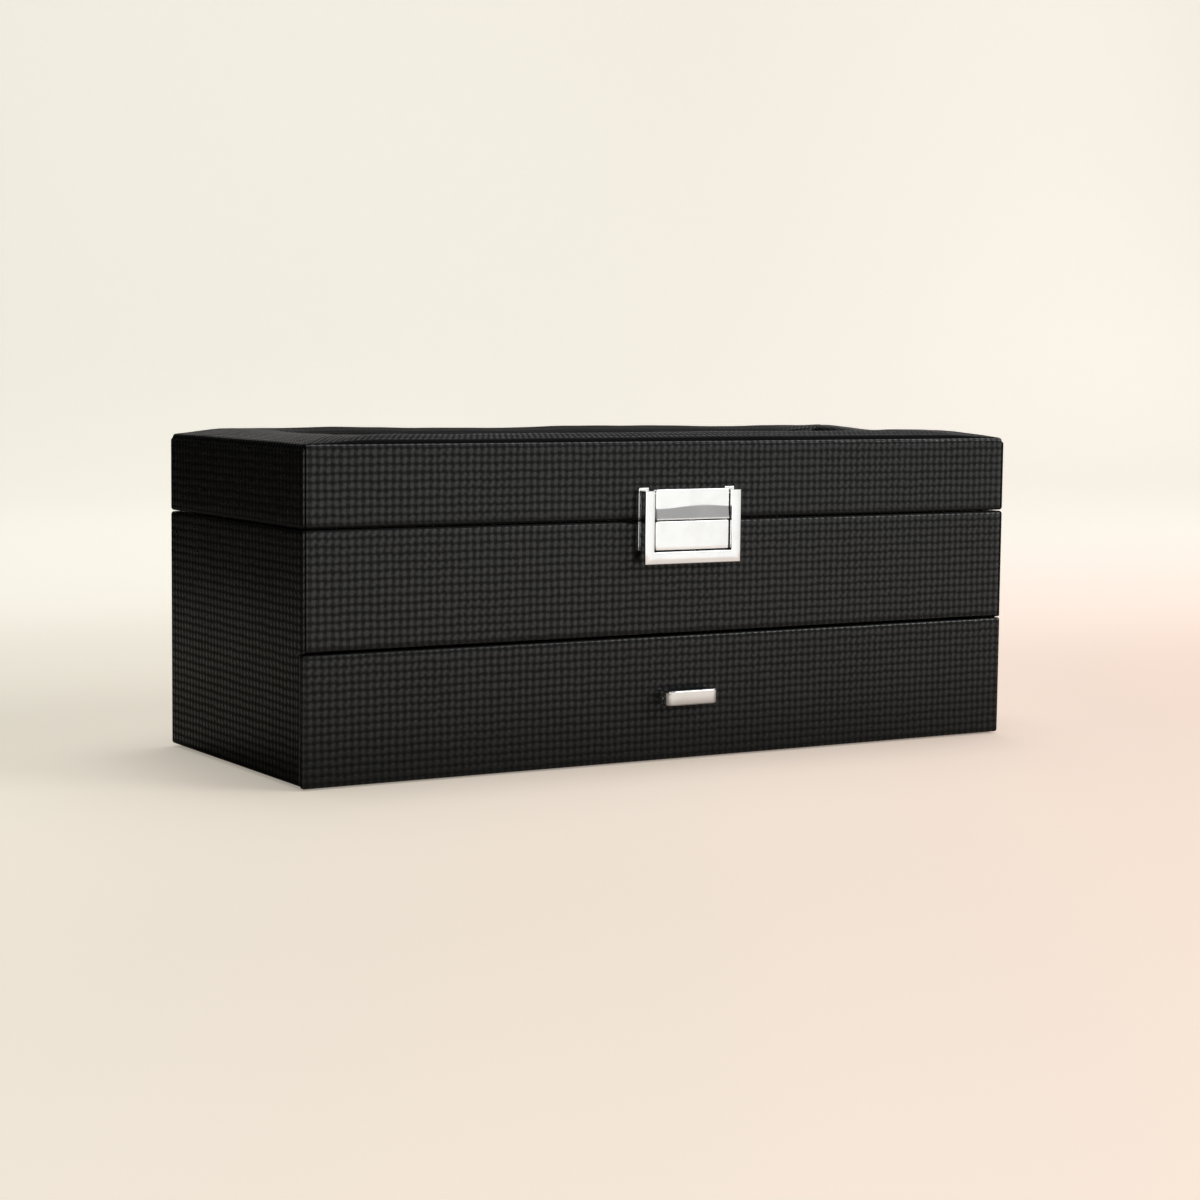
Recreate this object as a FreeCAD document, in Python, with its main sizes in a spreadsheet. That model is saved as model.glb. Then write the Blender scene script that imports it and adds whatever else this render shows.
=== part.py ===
"""Six-slot watch box: leatherette-covered boards, a drawer below the watch tray and a padded, glazed lid.

The origin is the centre of the face that the box stands on. +X runs along the box, -Y is its front
and +Z is up. Every length is in millimetres.
"""
import FreeCAD, Part
import math
import os
import Sketcher
from FreeCAD import Placement, Rotation, Vector

doc = FreeCAD.newDocument("WatchBox")
sheet = doc.addObject("Spreadsheet::Sheet", "Sizes")


class Size(float):
    """A length that carries the formula it came from, so that a property can be bound to it."""

    def __new__(cls, value, formula):
        size = float.__new__(cls, value)
        size.formula = formula
        return size

    def __add__(self, other):
        return Size(float(self) + float(other), f"({self.formula} + {formula_of(other)})")

    def __radd__(self, other):
        return Size(float(other) + float(self), f"({formula_of(other)} + {self.formula})")

    def __sub__(self, other):
        return Size(float(self) - float(other), f"({self.formula} - {formula_of(other)})")

    def __rsub__(self, other):
        return Size(float(other) - float(self), f"({formula_of(other)} - {self.formula})")

    def __mul__(self, other):
        return Size(float(self) * float(other), f"({self.formula} * {formula_of(other)})")

    __rmul__ = __mul__

    def __truediv__(self, other):
        return Size(float(self) / float(other), f"({self.formula} / {formula_of(other)})")

    def __neg__(self):
        return Size(-float(self), f"(-1 * {self.formula})")


def formula_of(value):
    """The formula of a size, or a plain number as text."""
    return value.formula if isinstance(value, Size) else f"{float(value):.6f}"


def size(alias, value, meaning):
    """Writes one driving dimension into the next row of the sheet and returns it."""
    size.row += 1
    sheet.set(f"A{size.row}", meaning)
    sheet.set(f"B{size.row}", str(value))
    sheet.setAlias(f"B{size.row}", alias)
    return Size(value, f"Sizes.{alias}")


size.row = 0

# Case
case_length = size("case_length", 305, "outer length of the box")
case_depth = size("case_depth", 118, "outer depth of the box, front to back")
board = size("board", 8, "thickness of the side, back and front boards")
felt = size("felt", 1, "thickness of the felt under the box")
felt_inset = size("felt_inset", 5, "distance of the felt from the outer faces")
edge_radius = size("edge_radius", 1.3, "rounding of the covered edges along the box")
corner_radius = size("corner_radius", 1.2, "rounding round the covered end faces")
seam_height = size("seam_height", 89.3, "height of the middle of the seam below the lid")
seam_gap = size("seam_gap", 0.36, "gap between the case and the closed lid")
base_board = size("base_board", 4, "thickness of the bottom board")
shelf_board = size("shelf_board", 3, "thickness of the shelf between drawer and tray")
lining = size("lining", 1, "thickness of the velvet lining")
lining_reveal = size("lining_reveal", 1, "leatherette rim left bare above the tray lining")

# Watch tray
SLOTS = 6
divider = size("divider", 4, "thickness of a slot divider")
divider_height = size("divider_height", 31, "height of a slot divider")
divider_radius = size("divider_radius", 1.6, "rounding of a divider's top edges")
divider_play = size("divider_play", 0.2, "gap between a divider and the lining at each end")
pillow_play = size("pillow_play", 1, "gap between a pillow and the sides of its slot")
pillow_length = size("pillow_length", 76, "front to back length of a watch pillow")
pillow_height = size("pillow_height", 36, "height of a watch pillow at its middle")
pillow_lift = size("pillow_lift", 0.3, "gap between a pillow and the velvet below it")
pillow_pinch = size("pillow_pinch", 3.5, "how far a pillow's outline draws in at its sewn ends")
pillow_crown = size("pillow_crown", 8, "rise of a pillow's crown and bulge of its front and back")

# Drawer
drawer_top = size("drawer_top", 46.5, "height of the drawer front's top edge")
drawer_gap = size("drawer_gap", 0.8, "gap between the drawer front and the wall above it")
drawer_clearance = size("drawer_clearance", 0.5, "gap between the drawer front and the table")
front_cover = size("front_cover", 2.6, "thickness of the covered panel on the drawer front")
front_gap = size("front_gap", 0.4, "gap behind the covered panel of the drawer front")
front_radius = size("front_radius", 1, "rounding of the drawer front's edges")
inner_front = size("inner_front", 6, "thickness of the drawer's inner front board")
drawer_board = size("drawer_board", 5, "thickness of the drawer's sides and back")
drawer_floor_board = size("drawer_floor_board", 3, "thickness of the drawer's floor")
drawer_play = size("drawer_play", 0.8, "gap at each side of the drawer")
drawer_lift = size("drawer_lift", 0.3, "gap below the drawer")
drawer_headroom = size("drawer_headroom", 2.3, "gap above the drawer's walls")
drawer_back_gap = size("drawer_back_gap", 1, "gap behind the closed drawer")

# Drawer pull
pull_length = size("pull_length", 22.3, "length of the drawer pull")
pull_shift = size("pull_shift", 0.7, "distance of the pull's middle to the right of the box's middle")
pull_tall = size("pull_tall", 5.7, "height of the drawer pull")
pull_reach = size("pull_reach", 7.5, "how far the pull stands out")
pull_bar = size("pull_bar", 2.2, "thickness of the pull's bar")
pull_leg = size("pull_leg", 3.2, "thickness of the pull's legs")
pull_height = size("pull_height", 24, "height of the pull's middle")
pull_corner = size("pull_corner", 1.2, "rounding of the pull's outer corners")
pull_screw_radius = size("pull_screw_radius", 0.9, "radius of a pull screw")
pull_screw_grip = size("pull_screw_grip", 4, "how far a pull screw enters the leg")
pull_head_radius = size("pull_head_radius", 2.4, "radius of a pull screw's head")
pull_head = size("pull_head", 1.6, "thickness of a pull screw's head")

# Lid
lid_edge = size("lid_edge", 118, "height of the lid's top outer edge")
frame_board = size("frame_board", 6, "thickness of the board that carries the glass")
rim_width = size("rim_width", 28, "width of the padded rim round the window")
rim_edge = size("rim_edge", 1.2, "thickness of the padded rim at its outer edge")
rim_crest = size("rim_crest", 2.7, "height of the padded rim's crest above the lid's edge")
rim_crest_inset = size("rim_crest_inset", 19, "distance of the crest from the outer edge")
rim_skin = size("rim_skin", 1, "thickness of the cover where it turns down to the glass")
glass_sheet = size("glass_sheet", 2.5, "thickness of the window")
glass_lap = size("glass_lap", 8, "how far the window runs under its frame")
glass_play = size("glass_play", 0.2, "gap round the window in its rebate")
retainer = size("retainer", 2.5, "thickness of the velvet frame that holds the window")

# Latch
latch_width = size("latch_width", 41.7, "width of the hasp and of its plates")
latch_shift = size("latch_shift", 1.7, "distance of the latch's middle to the right of the box's middle")
latch_plate = size("latch_plate", 0.9, "thickness of the latch plates")
latch_top = size("latch_top", 10.9, "height of the hasp's top above the seam")
latch_bottom = size("latch_bottom", 15.9, "depth of the hasp's lower edge below the seam")
arm_width = size("arm_width", 4.1, "width of the hasp's arms")
bar_tall = size("bar_tall", 4.6, "height of the hasp's bar")
hasp_back = size("hasp_back", 2.2, "distance of the arms' backs from the wall")
hasp_front = size("hasp_front", 5.2, "distance of the arms' fronts from the wall")
bar_back = size("bar_back", 4.7, "distance of the bar's back from the wall")
bar_front = size("bar_front", 5.8, "distance of the bar's front from the wall")
bar_blend = size("bar_blend", 6, "length over which the arms swell towards the bar")
block_width = size("block_width", 31.5, "width of the raised blocks inside the hasp")
block_front = size("block_front", 4.4, "distance of the blocks' fronts from the wall")
block_rise = size("block_rise", 0.6, "how far the upper block stands above the hasp")
block_radius = size("block_radius", 0.4, "rounding of the blocks' front edges")
catch_play = size("catch_play", 0.4, "gap between the hasp's bar and the catch block")
tab_width = size("tab_width", 4.3, "width of the tabs at the top of the lid plate")
tab_rise = size("tab_rise", 1.1, "how far the tabs stand above the hasp")
hasp_axis_depth = size("hasp_axis_depth", 3.4, "distance of the hasp's pivot from the wall")
hasp_axis_drop = size("hasp_axis_drop", 1.1, "distance of the hasp's pivot below its top")
hasp_pin_radius = size("hasp_pin_radius", 0.7, "radius of the hasp's pin")
pin_clearance = size("pin_clearance", 0.05, "radial running clearance of a pin")
hasp_pin_grip = size("hasp_pin_grip", 2.8, "how far the hasp's pin enters each arm")
nail_radius = size("nail_radius", 0.5, "radius of a latch nail")
nail_length = size("nail_length", 6, "how far a latch nail enters the board")

# Rear hinges
hinge_spacing = size("hinge_spacing", 190, "distance between the middles of the two hinges")
hinge_width = size("hinge_width", 26, "width of a hinge")
hinge_leaf = size("hinge_leaf", 0.9, "thickness of a hinge leaf")
hinge_reach = size("hinge_reach", 11, "height of a hinge leaf from the pin's axis")
knuckle_radius = size("knuckle_radius", 1.6, "radius of a hinge knuckle")
knuckle_stand = size("knuckle_stand", 1.75, "distance of the pin's axis from the back")
knuckle_gap = size("knuckle_gap", 0.12, "gap between neighbouring knuckles")
leaf_clearance = size("leaf_clearance", 0.35, "gap between a leaf and the other leaf's knuckles")
hinge_pin_radius = size("hinge_pin_radius", 0.7, "radius of a hinge pin")
screw_spacing = size("screw_spacing", 15, "distance between the screws of a leaf")
screw_inset = size("screw_inset", 3.6, "distance of the screws from a leaf's outer edge")
screw_radius = size("screw_radius", 0.7, "radius of a hinge screw")
screw_head_radius = size("screw_head_radius", 1.5, "radius of a hinge screw's head")
screw_length = size("screw_length", 6, "length of a hinge screw")
KNUCKLES = 3

# Places worked out from the sizes
half_length = case_length / 2
half_depth = case_depth / 2
front_wall = -half_depth
back_wall = half_depth
inner_x = half_length - board
inner_y = half_depth - board
case_top = seam_height - seam_gap / 2
lid_bottom = seam_height + seam_gap / 2
bay_floor = felt + base_board
bay_top = drawer_top + drawer_gap
tray_floor_top = bay_top + shelf_board
side_front = front_wall + front_cover + front_gap
rim_base = lid_edge - rim_edge
frame_base = rim_base - frame_board
window_x = half_length - rim_width
window_y = half_depth - rim_width
hasp_top = seam_height + latch_top
hasp_bottom = seam_height - latch_bottom
catch_bottom = hasp_bottom + bar_tall + catch_play
latch_left = latch_shift - latch_width / 2
latch_right = latch_shift + latch_width / 2
ZERO = Size(0, "0.0")

parts = []


def keep(node, name):
    """Names a finished piece; its name is the name of its file."""
    node.Label = name
    parts.append(node)
    return node


def bind_place(node, corner):
    """Binds a piece's position to three sizes."""
    for axis, place in zip("xyz", corner):
        node.setExpression(f"Placement.Base.{axis}", formula_of(place))


def block(name, low, high, kind="Part::Box", owner=None):
    """A rectangular block between two opposite corners."""
    node = (owner.newObject if owner else doc.addObject)(kind, name)
    for side, near, far in zip(("Length", "Width", "Height"), low, high):
        node.setExpression(side, formula_of(far - near))
    bind_place(node, low)
    return node


def rod(name, radius, start, length, direction, kind="Part::Cylinder", owner=None):
    """A round rod from a start point along a direction."""
    node = (owner.newObject if owner else doc.addObject)(kind, name)
    node.Placement = Placement(Vector(), Rotation(Vector(0, 0, 1), direction))
    node.setExpression("Radius", formula_of(radius))
    node.setExpression("Height", formula_of(length))
    bind_place(node, start)
    return node


def cone(name, small, large, start, height, direction):
    """A cone that widens from its start point along a direction."""
    node = doc.addObject("Part::Cone", name)
    node.Placement = Placement(Vector(), Rotation(Vector(0, 0, 1), direction))
    node.setExpression("Radius1", formula_of(small))
    node.setExpression("Radius2", formula_of(large))
    node.setExpression("Height", formula_of(height))
    bind_place(node, start)
    return node


def common(name, base, tool):
    """What two shapes share."""
    node = doc.addObject("Part::Common", name)
    node.Base = base
    node.Tool = tool
    return node


def cut(name, base, tool):
    """The first shape less the second."""
    node = doc.addObject("Part::Cut", name)
    node.Base = base
    node.Tool = tool
    return node


def fuse(name, shapes):
    """Several shapes joined into one solid."""
    node = doc.addObject("Part::MultiFuse", name)
    node.Shapes = shapes
    return node


def group(name, shapes):
    """Several separate solids in one node."""
    node = doc.addObject("Part::Compound", name)
    node.Links = shapes
    return node


def new_body(name):
    return doc.addObject("PartDesign::Body", name)


def outline(body, name, plane, corners):
    """A closed outline of straight lines on a body's own plane, each corner bound to two sizes."""
    sketch = body.newObject("Sketcher::SketchObject", name)
    support = [feature for feature in body.Origin.OriginFeatures if feature.Role == plane][0]
    sketch.AttachmentSupport = [(support, "")]
    sketch.MapMode = "FlatFace"
    count = len(corners)
    for index, (across, up) in enumerate(corners):
        next_across, next_up = corners[(index + 1) % count]
        line = Part.LineSegment(Vector(across, up, 0), Vector(next_across, next_up, 0))
        sketch.addGeometry(line, False)
    for index in range(count):
        sketch.addConstraint(Sketcher.Constraint("Coincident", index, 2, (index + 1) % count, 1))
    for index, corner in enumerate(corners):
        for direction, place in zip(("DistanceX", "DistanceY"), corner):
            number = sketch.addConstraint(
                Sketcher.Constraint(direction, -1, 1, index, 1, float(place))
            )
            sketch.setExpression(f"Constraints[{number}]", formula_of(place))
    return sketch


def pad(body, name, sketch, length):
    """Pads a sketch by half the length to each side of its plane."""
    feature = body.newObject("PartDesign::Pad", name)
    feature.Profile = sketch
    feature.SideType = "Symmetric"
    feature.setExpression("Length", formula_of(length))
    doc.recompute()
    return feature


def round_edges(body, name, base, radius, chosen):
    """Rounds those edges of a feature that the test picks out."""
    doc.recompute()
    names = [f"Edge{i + 1}" for i, edge in enumerate(base.Shape.Edges) if chosen(edge.BoundBox)]
    feature = body.newObject("PartDesign::Fillet", name)
    feature.Base = (base, names)
    feature.setExpression("Radius", formula_of(radius))
    doc.recompute()
    return feature


def near(first, second):
    return abs(first - second) < 1e-3


def runs_along_x(box):
    """True for an edge parallel to X."""
    return near(box.YMin, box.YMax) and near(box.ZMin, box.ZMax)


def at_end_face(box):
    """True for an edge that lies in one of the two end faces of the box."""
    return near(box.XMin, box.XMax) and near(abs(box.XMin), half_length)


def make_case_blank():
    """The covered outside of the case: a block with a step for the drawer front and rounded edges."""
    body = new_body("case_blank")
    corners = [
        (side_front, felt),
        (side_front, bay_top),
        (front_wall, bay_top),
        (front_wall, case_top),
        (back_wall, case_top),
        (back_wall, felt),
    ]
    sketch = outline(body, "case_profile", "YZ_Plane", corners)
    long_block = pad(body, "case_block", sketch, case_length)

    def outer_long_edge(box):
        inside_step = near(box.YMin, side_front) and near(box.ZMin, bay_top)
        return runs_along_x(box) and not inside_step

    long_edges = round_edges(body, "case_edges", long_block, edge_radius, outer_long_edge)
    round_edges(body, "case_ends", long_edges, corner_radius, at_end_face)
    return body


def make_lid_blank():
    """The covered outside of the lid: a block with rounded lower edges and rounded corners."""
    body = new_body("lid_blank")
    top = lid_edge + 2 * rim_crest
    corners = [
        (front_wall, lid_bottom),
        (front_wall, top),
        (back_wall, top),
        (back_wall, lid_bottom),
    ]
    sketch = outline(body, "lid_profile", "YZ_Plane", corners)
    long_block = pad(body, "lid_block", sketch, case_length)

    def lower_long_edge(box):
        return runs_along_x(box) and near(box.ZMin, lid_bottom)

    def end_edge(box):
        return at_end_face(box) and not near(box.ZMin, top)

    long_edges = round_edges(body, "lid_edges", long_block, edge_radius, lower_long_edge)
    round_edges(body, "lid_ends", long_edges, corner_radius, end_edge)
    return body


def hinge_screw(name, across, height):
    """A countersunk screw that holds a hinge leaf to the back."""
    inward = Vector(0, -1, 0)
    outer = back_wall + hinge_leaf
    shank = rod(f"{name}_shank", screw_radius, (across, outer, height), screw_length, inward)
    inner_end = (across, back_wall, height)
    head = cone(f"{name}_head", screw_radius, screw_head_radius, inner_end, hinge_leaf, -inward)
    return fuse(name, [shank, head])


def make_hinge_screws(part, side):
    """The four screws of the two leaves on one part: side is -1 on the case and 1 on the lid."""
    height = seam_height + side * (hinge_reach - screw_inset)
    screws = []
    for row, hinge in enumerate((-1, 1)):
        for column, end in enumerate((-1, 1)):
            across = hinge * hinge_spacing / 2 + end * screw_spacing / 2
            screws.append(hinge_screw(f"{part}_screw_{row}{column}", across, height))
    return group(f"{part}_screws", screws)


def make_hinge_leaf(name, hinge, side, screws):
    """One leaf of a rear hinge with its own knuckles, bored for the pin and cut for its screws."""
    middle = hinge * hinge_spacing / 2
    low_x = middle - hinge_width / 2
    step = hinge_width / KNUCKLES
    axis_y = back_wall + knuckle_stand
    first = 0 if side < 0 else 1
    outer_z = seam_height + side * hinge_reach
    inner_z = seam_height + side * (knuckle_radius + leaf_clearance)
    low_z, high_z = sorted((outer_z, inner_z))
    pieces = [
        block(
            f"{name}_plate",
            (low_x, back_wall, low_z),
            (low_x + hinge_width, back_wall + hinge_leaf, high_z),
        )
    ]
    for index in range(first, KNUCKLES, 2):
        start = low_x + index * step + knuckle_gap / 2
        length = step - knuckle_gap
        pieces.append(
            rod(
                f"{name}_knuckle_{index}",
                knuckle_radius,
                (start, axis_y, seam_height),
                length,
                Vector(1, 0, 0),
            )
        )
        low_z, high_z = sorted((seam_height, inner_z))
        pieces.append(
            block(
                f"{name}_tongue_{index}",
                (start, back_wall, low_z),
                (start + length, back_wall + hinge_leaf, high_z),
            )
        )
    bore_radius = hinge_pin_radius + pin_clearance
    bore_start = (low_x - knuckle_gap, axis_y, seam_height)
    bore = rod(
        f"{name}_bore", bore_radius, bore_start, hinge_width + 2 * knuckle_gap, Vector(1, 0, 0)
    )
    solid = cut(f"{name}_bored", fuse(f"{name}_solid", pieces), bore)
    return keep(cut(f"{name}_cut", solid, screws), name)


def make_hinge_pins():
    """The two hinge pins, staked flush with the outer knuckles, one solid each."""
    axis_y = back_wall + knuckle_stand
    pins = []
    for side, hinge in (("left", -1), ("right", 1)):
        start = (hinge * hinge_spacing / 2 - hinge_width / 2, axis_y, seam_height)
        pins.append(rod(f"{side}_pin", hinge_pin_radius, start, hinge_width, Vector(1, 0, 0)))
    return keep(group("pins", pins), "hinge_pins")


def latch_nails(name, low, high):
    """The two headless nails that hold a latch plate, halfway up it and behind the hasp's arms."""
    inset = arm_width / 2
    nails = []
    for index, across in enumerate((latch_left + inset, latch_right - inset)):
        start = (across, front_wall - latch_plate, (low + high) / 2)
        length = latch_plate + nail_length
        nails.append(rod(f"{name}_{index}", nail_radius, start, length, Vector(0, 1, 0)))
    return keep(group(f"{name}_set", nails), name)


def make_case(case_blank):
    """The boards of the case, the felt below it and the velvet in its tray."""
    screws = keep(make_hinge_screws("case", -1), "hinge_screws_case")
    nails = latch_nails("latch_nails_case", catch_bottom, case_top)
    low_y, high_y, top = front_wall - board, back_wall + board, case_top + board
    for name, outer, inner in (
        ("left_side_panel", -half_length, -inner_x),
        ("right_side_panel", inner_x, half_length),
    ):
        region = block(f"{name}_region", (outer, low_y, ZERO), (inner, high_y, top))
        keep(common(f"{name}_board", case_blank, region), name)
    region = block("back_region", (-inner_x, inner_y, ZERO), (inner_x, high_y, top))
    back = common("back_board", case_blank, region)
    keep(cut("back_drilled", back, screws), "back_panel")
    region = block("front_region", (-inner_x, low_y, bay_top), (inner_x, -inner_y, top))
    front = common("front_board", case_blank, region)
    keep(cut("front_drilled", front, nails), "upper_front_panel")
    region = block("bottom_region", (-inner_x, low_y, ZERO), (inner_x, inner_y, bay_floor))
    keep(common("bottom_slab", case_blank, region), "bottom_board")
    shelf = block("shelf", (-inner_x, -inner_y, bay_top), (inner_x, inner_y, tray_floor_top))
    keep(shelf, "tray_floor")
    felt_x, felt_y = half_length - felt_inset, half_depth - felt_inset
    felt_front = side_front + felt_inset
    keep(block("felt_sheet", (-felt_x, felt_front, ZERO), (felt_x, felt_y, felt)), "base_felt")
    lining_top = case_top - lining_reveal
    outer = block(
        "tray_outer", (-inner_x, -inner_y, tray_floor_top), (inner_x, inner_y, lining_top)
    )
    slot_x, slot_y = inner_x - lining, inner_y - lining
    inner = block("tray_inner", (-slot_x, -slot_y, tray_floor_top + lining), (slot_x, slot_y, top))
    keep(cut("tray_velvet", outer, inner), "tray_lining")
    return screws, nails


def make_divider(index, low_x):
    """A velvet-covered divider with a rounded top."""
    body = new_body(f"divider_body_{index}")
    end_y = inner_y - lining - divider_play
    base = tray_floor_top + lining
    high = (low_x + divider, end_y, base + divider_height)
    slab = block(
        f"divider_slab_{index}", (low_x, -end_y, base), high, "PartDesign::AdditiveBox", body
    )

    def top_long_edge(box):
        level = near(box.ZMin, float(high[2])) and near(box.ZMax, float(high[2]))
        return level and near(box.XMin, box.XMax)

    round_edges(body, f"divider_top_{index}", slab, divider_radius, top_long_edge)
    return keep(body, f"slot_divider_{index}")


def pillow_section(across, share, base):
    """One closed section of a pillow, drawn in by a share: a flat base, full ends and a crowned top."""
    half, height, crown = float(pillow_length) / 2, float(pillow_height), float(pillow_crown)
    level = 0.28 * height

    def at(along, up):
        return Vector(across, along * share, base + level + (up - level) * share)

    corners = [
        at(-(half - crown / 2), 0),
        at(half - crown / 2, 0),
        at(half, 0.44 * height),
        at(half - crown / 2, height - crown),
        at(crown / 2 - half, height - crown),
        at(-half, 0.44 * height),
    ]
    sides = [Part.LineSegment(start, end) for start, end in zip(corners, corners[1:] + corners[:1])]
    sides[3] = Part.Arc(corners[3], at(0, height), corners[4])
    return Part.Wire([side.toShape() for side in sides])


def make_pillow(index, middle, width):
    """A stuffed watch pillow: full in the middle and drawn in towards its two sewn ends."""
    base = float(tray_floor_top + lining + pillow_lift)
    half_width = float(width) / 2
    drawn = 2 * float(pillow_pinch) / float(pillow_length)
    sections = [
        pillow_section(float(middle) + place * half_width, 1 - pull_in * drawn, base)
        for place, pull_in in ((-1.0, 1.0), (-0.6, 0.15), (0.6, 0.15), (1.0, 1.0))
    ]
    node = doc.addObject("Part::Feature", f"pillow_{index}")
    node.Shape = Part.makeLoft(sections, True, True)
    return keep(node, f"watch_pillow_{index}")


def make_tray():
    """The dividers and the six watch pillows, spaced evenly along the tray."""
    slot_x = inner_x - lining
    slot = (2 * slot_x - (SLOTS - 1) * divider) / SLOTS
    for index in range(SLOTS):
        start = -slot_x + index * (slot + divider)
        if index:
            make_divider(index, start - divider)
        make_pillow(index + 1, start + slot / 2, slot - 2 * pillow_play)


def make_pull():
    """The C-shaped pull, padded from its plan, with rounded corners."""
    body = new_body("pull_body")
    left, right = pull_shift - pull_length / 2, pull_shift + pull_length / 2
    face, inner_face = front_wall - pull_reach, front_wall - pull_reach + pull_bar
    corners = [
        (left, front_wall),
        (left, face),
        (right, face),
        (right, front_wall),
        (right - pull_leg, front_wall),
        (right - pull_leg, inner_face),
        (left + pull_leg, inner_face),
        (left + pull_leg, front_wall),
    ]
    sketch = outline(body, "pull_plan", "XY_Plane", corners)
    sketch.AttachmentOffset = Placement(Vector(0, 0, pull_height), Rotation())
    sketch.setExpression("AttachmentOffset.Base.z", formula_of(pull_height))
    bar = pad(body, "pull_bar", sketch, pull_tall)

    def front_upright(box):
        return near(box.YMin, float(face)) and near(box.YMax, float(face)) and near(box.XMin, box.XMax)

    round_edges(body, "pull_corners", bar, pull_corner, front_upright)
    return body


def make_pull_screws():
    """The two screws that hold the pull, with their heads inside the drawer."""
    across = pull_length / 2 - pull_leg / 2
    seat = front_wall + front_cover + inner_front
    outward = Vector(0, -1, 0)
    screws = []
    for index, side in enumerate((-1, 1)):
        start = (pull_shift + side * across, seat, pull_height)
        length = front_cover + inner_front + pull_screw_grip
        shank = rod(f"pull_shank_{index}", pull_screw_radius, start, length, outward)
        head = rod(f"pull_head_{index}", pull_head_radius, start, pull_head, -outward)
        screws.append(fuse(f"pull_screw_{index}", [shank, head]))
    return keep(group("pull_screw_pair", screws), "pull_screws")


def make_drawer():
    """The drawer: a covered front on a plain lined tray."""
    screws = make_pull_screws()
    keep(cut("pull_drilled", make_pull(), screws), "drawer_pull")
    body = new_body("front_body")
    back_face = front_wall + front_cover
    slab = block(
        "front_slab",
        (-half_length, front_wall, drawer_clearance),
        (half_length, back_face, drawer_top),
        "PartDesign::AdditiveBox",
        body,
    )

    def at_front(box):
        return near(box.YMin, front_wall) and near(box.YMax, front_wall)

    round_edges(body, "front_edges", slab, front_radius, at_front)
    keep(cut("front_cover_drilled", body, screws), "drawer_front")

    side_x = inner_x - drawer_play
    low_z = bay_floor + drawer_lift
    high_z = bay_top - drawer_headroom
    board_back = back_face + inner_front
    back_y = inner_y - drawer_back_gap
    back_start = back_y - drawer_board
    floor_top = low_z + drawer_floor_board
    inside_x = side_x - drawer_board
    inner = block("inner_front_slab", (-side_x, back_face, low_z), (side_x, board_back, high_z))
    keep(cut("inner_front_drilled", inner, screws), "drawer_inner_front")
    left = block("drawer_left", (-side_x, board_back, low_z), (-inside_x, back_y, high_z))
    right = block("drawer_right", (inside_x, board_back, low_z), (side_x, back_y, high_z))
    rear = block("drawer_rear", (-inside_x, back_start, low_z), (inside_x, back_y, high_z))
    floor = block("drawer_base", (-inside_x, board_back, low_z), (inside_x, back_start, floor_top))
    keep(left, "drawer_left_side")
    keep(right, "drawer_right_side")
    keep(rear, "drawer_back")
    keep(floor, "drawer_floor")
    velvet_top = high_z - lining_reveal
    outer = block(
        "drawer_velvet_outer", (-inside_x, board_back, floor_top), (inside_x, back_start, velvet_top)
    )
    velvet_x = inside_x - lining
    hollow = block(
        "drawer_velvet_inner",
        (-velvet_x, board_back + lining, floor_top + lining),
        (velvet_x, back_start - lining, high_z),
    )
    velvet = cut("drawer_velvet", outer, hollow)
    keep(cut("drawer_velvet_cut", velvet, screws), "drawer_lining")


def rim_profile():
    """The padded rim's section: a crowned top that rolls over into the window, on a thin flat base."""
    outer = float(half_depth)

    def at(inset, height):
        return Vector(0, -(outer - inset), height)

    base, edge = float(rim_base), float(lid_edge)
    crest = edge + float(rim_crest)
    crest_in, width, skin = float(rim_crest_inset), float(rim_width), float(rim_skin)
    roll = (width - crest_in) * 0.8
    turn = edge - 0.2 * float(rim_crest)
    lip = base - (float(frame_board) - float(glass_sheet))
    roll_start = (crest_in + roll * 0.55, crest - 0.1 * float(rim_crest))
    rise = (crest_in * 0.45, edge + 0.68 * float(rim_crest))
    edges = [
        Part.LineSegment(at(0, base), at(0, edge)),
        Part.Arc(at(0, edge), at(*rise), at(crest_in, crest)),
        Part.LineSegment(at(crest_in, crest), at(*roll_start)),
        Part.Arc(
            at(*roll_start),
            at(width - 0.9, (roll_start[1] + turn) / 2 + 0.5),
            at(width, turn),
        ),
        Part.LineSegment(at(width, turn), at(width, lip)),
        Part.LineSegment(at(width, lip), at(width - skin, lip)),
        Part.LineSegment(at(width - skin, lip), at(width - skin, base)),
        Part.LineSegment(at(width - skin, base), at(0, base)),
    ]
    return Part.Wire([edge_curve.toShape() for edge_curve in edges])


def make_padded_rim(lid_blank):
    """The padded rim: its section carried round the lid with mitred corners."""
    half_x, half_y = float(half_length), float(half_depth)
    height = float(rim_base)
    corners = [
        Vector(0, -half_y, height),
        Vector(half_x, -half_y, height),
        Vector(half_x, half_y, height),
        Vector(-half_x, half_y, height),
        Vector(-half_x, -half_y, height),
        Vector(0, -half_y, height),
    ]
    path = Part.makePolygon(corners)
    sweep = doc.addObject("Part::Feature", "rim_sweep")
    right_corner = 1
    sweep.Shape = path.makePipeShell([rim_profile()], True, False, right_corner)
    return keep(common("rim_pad", lid_blank, sweep), "padded_rim")


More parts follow.
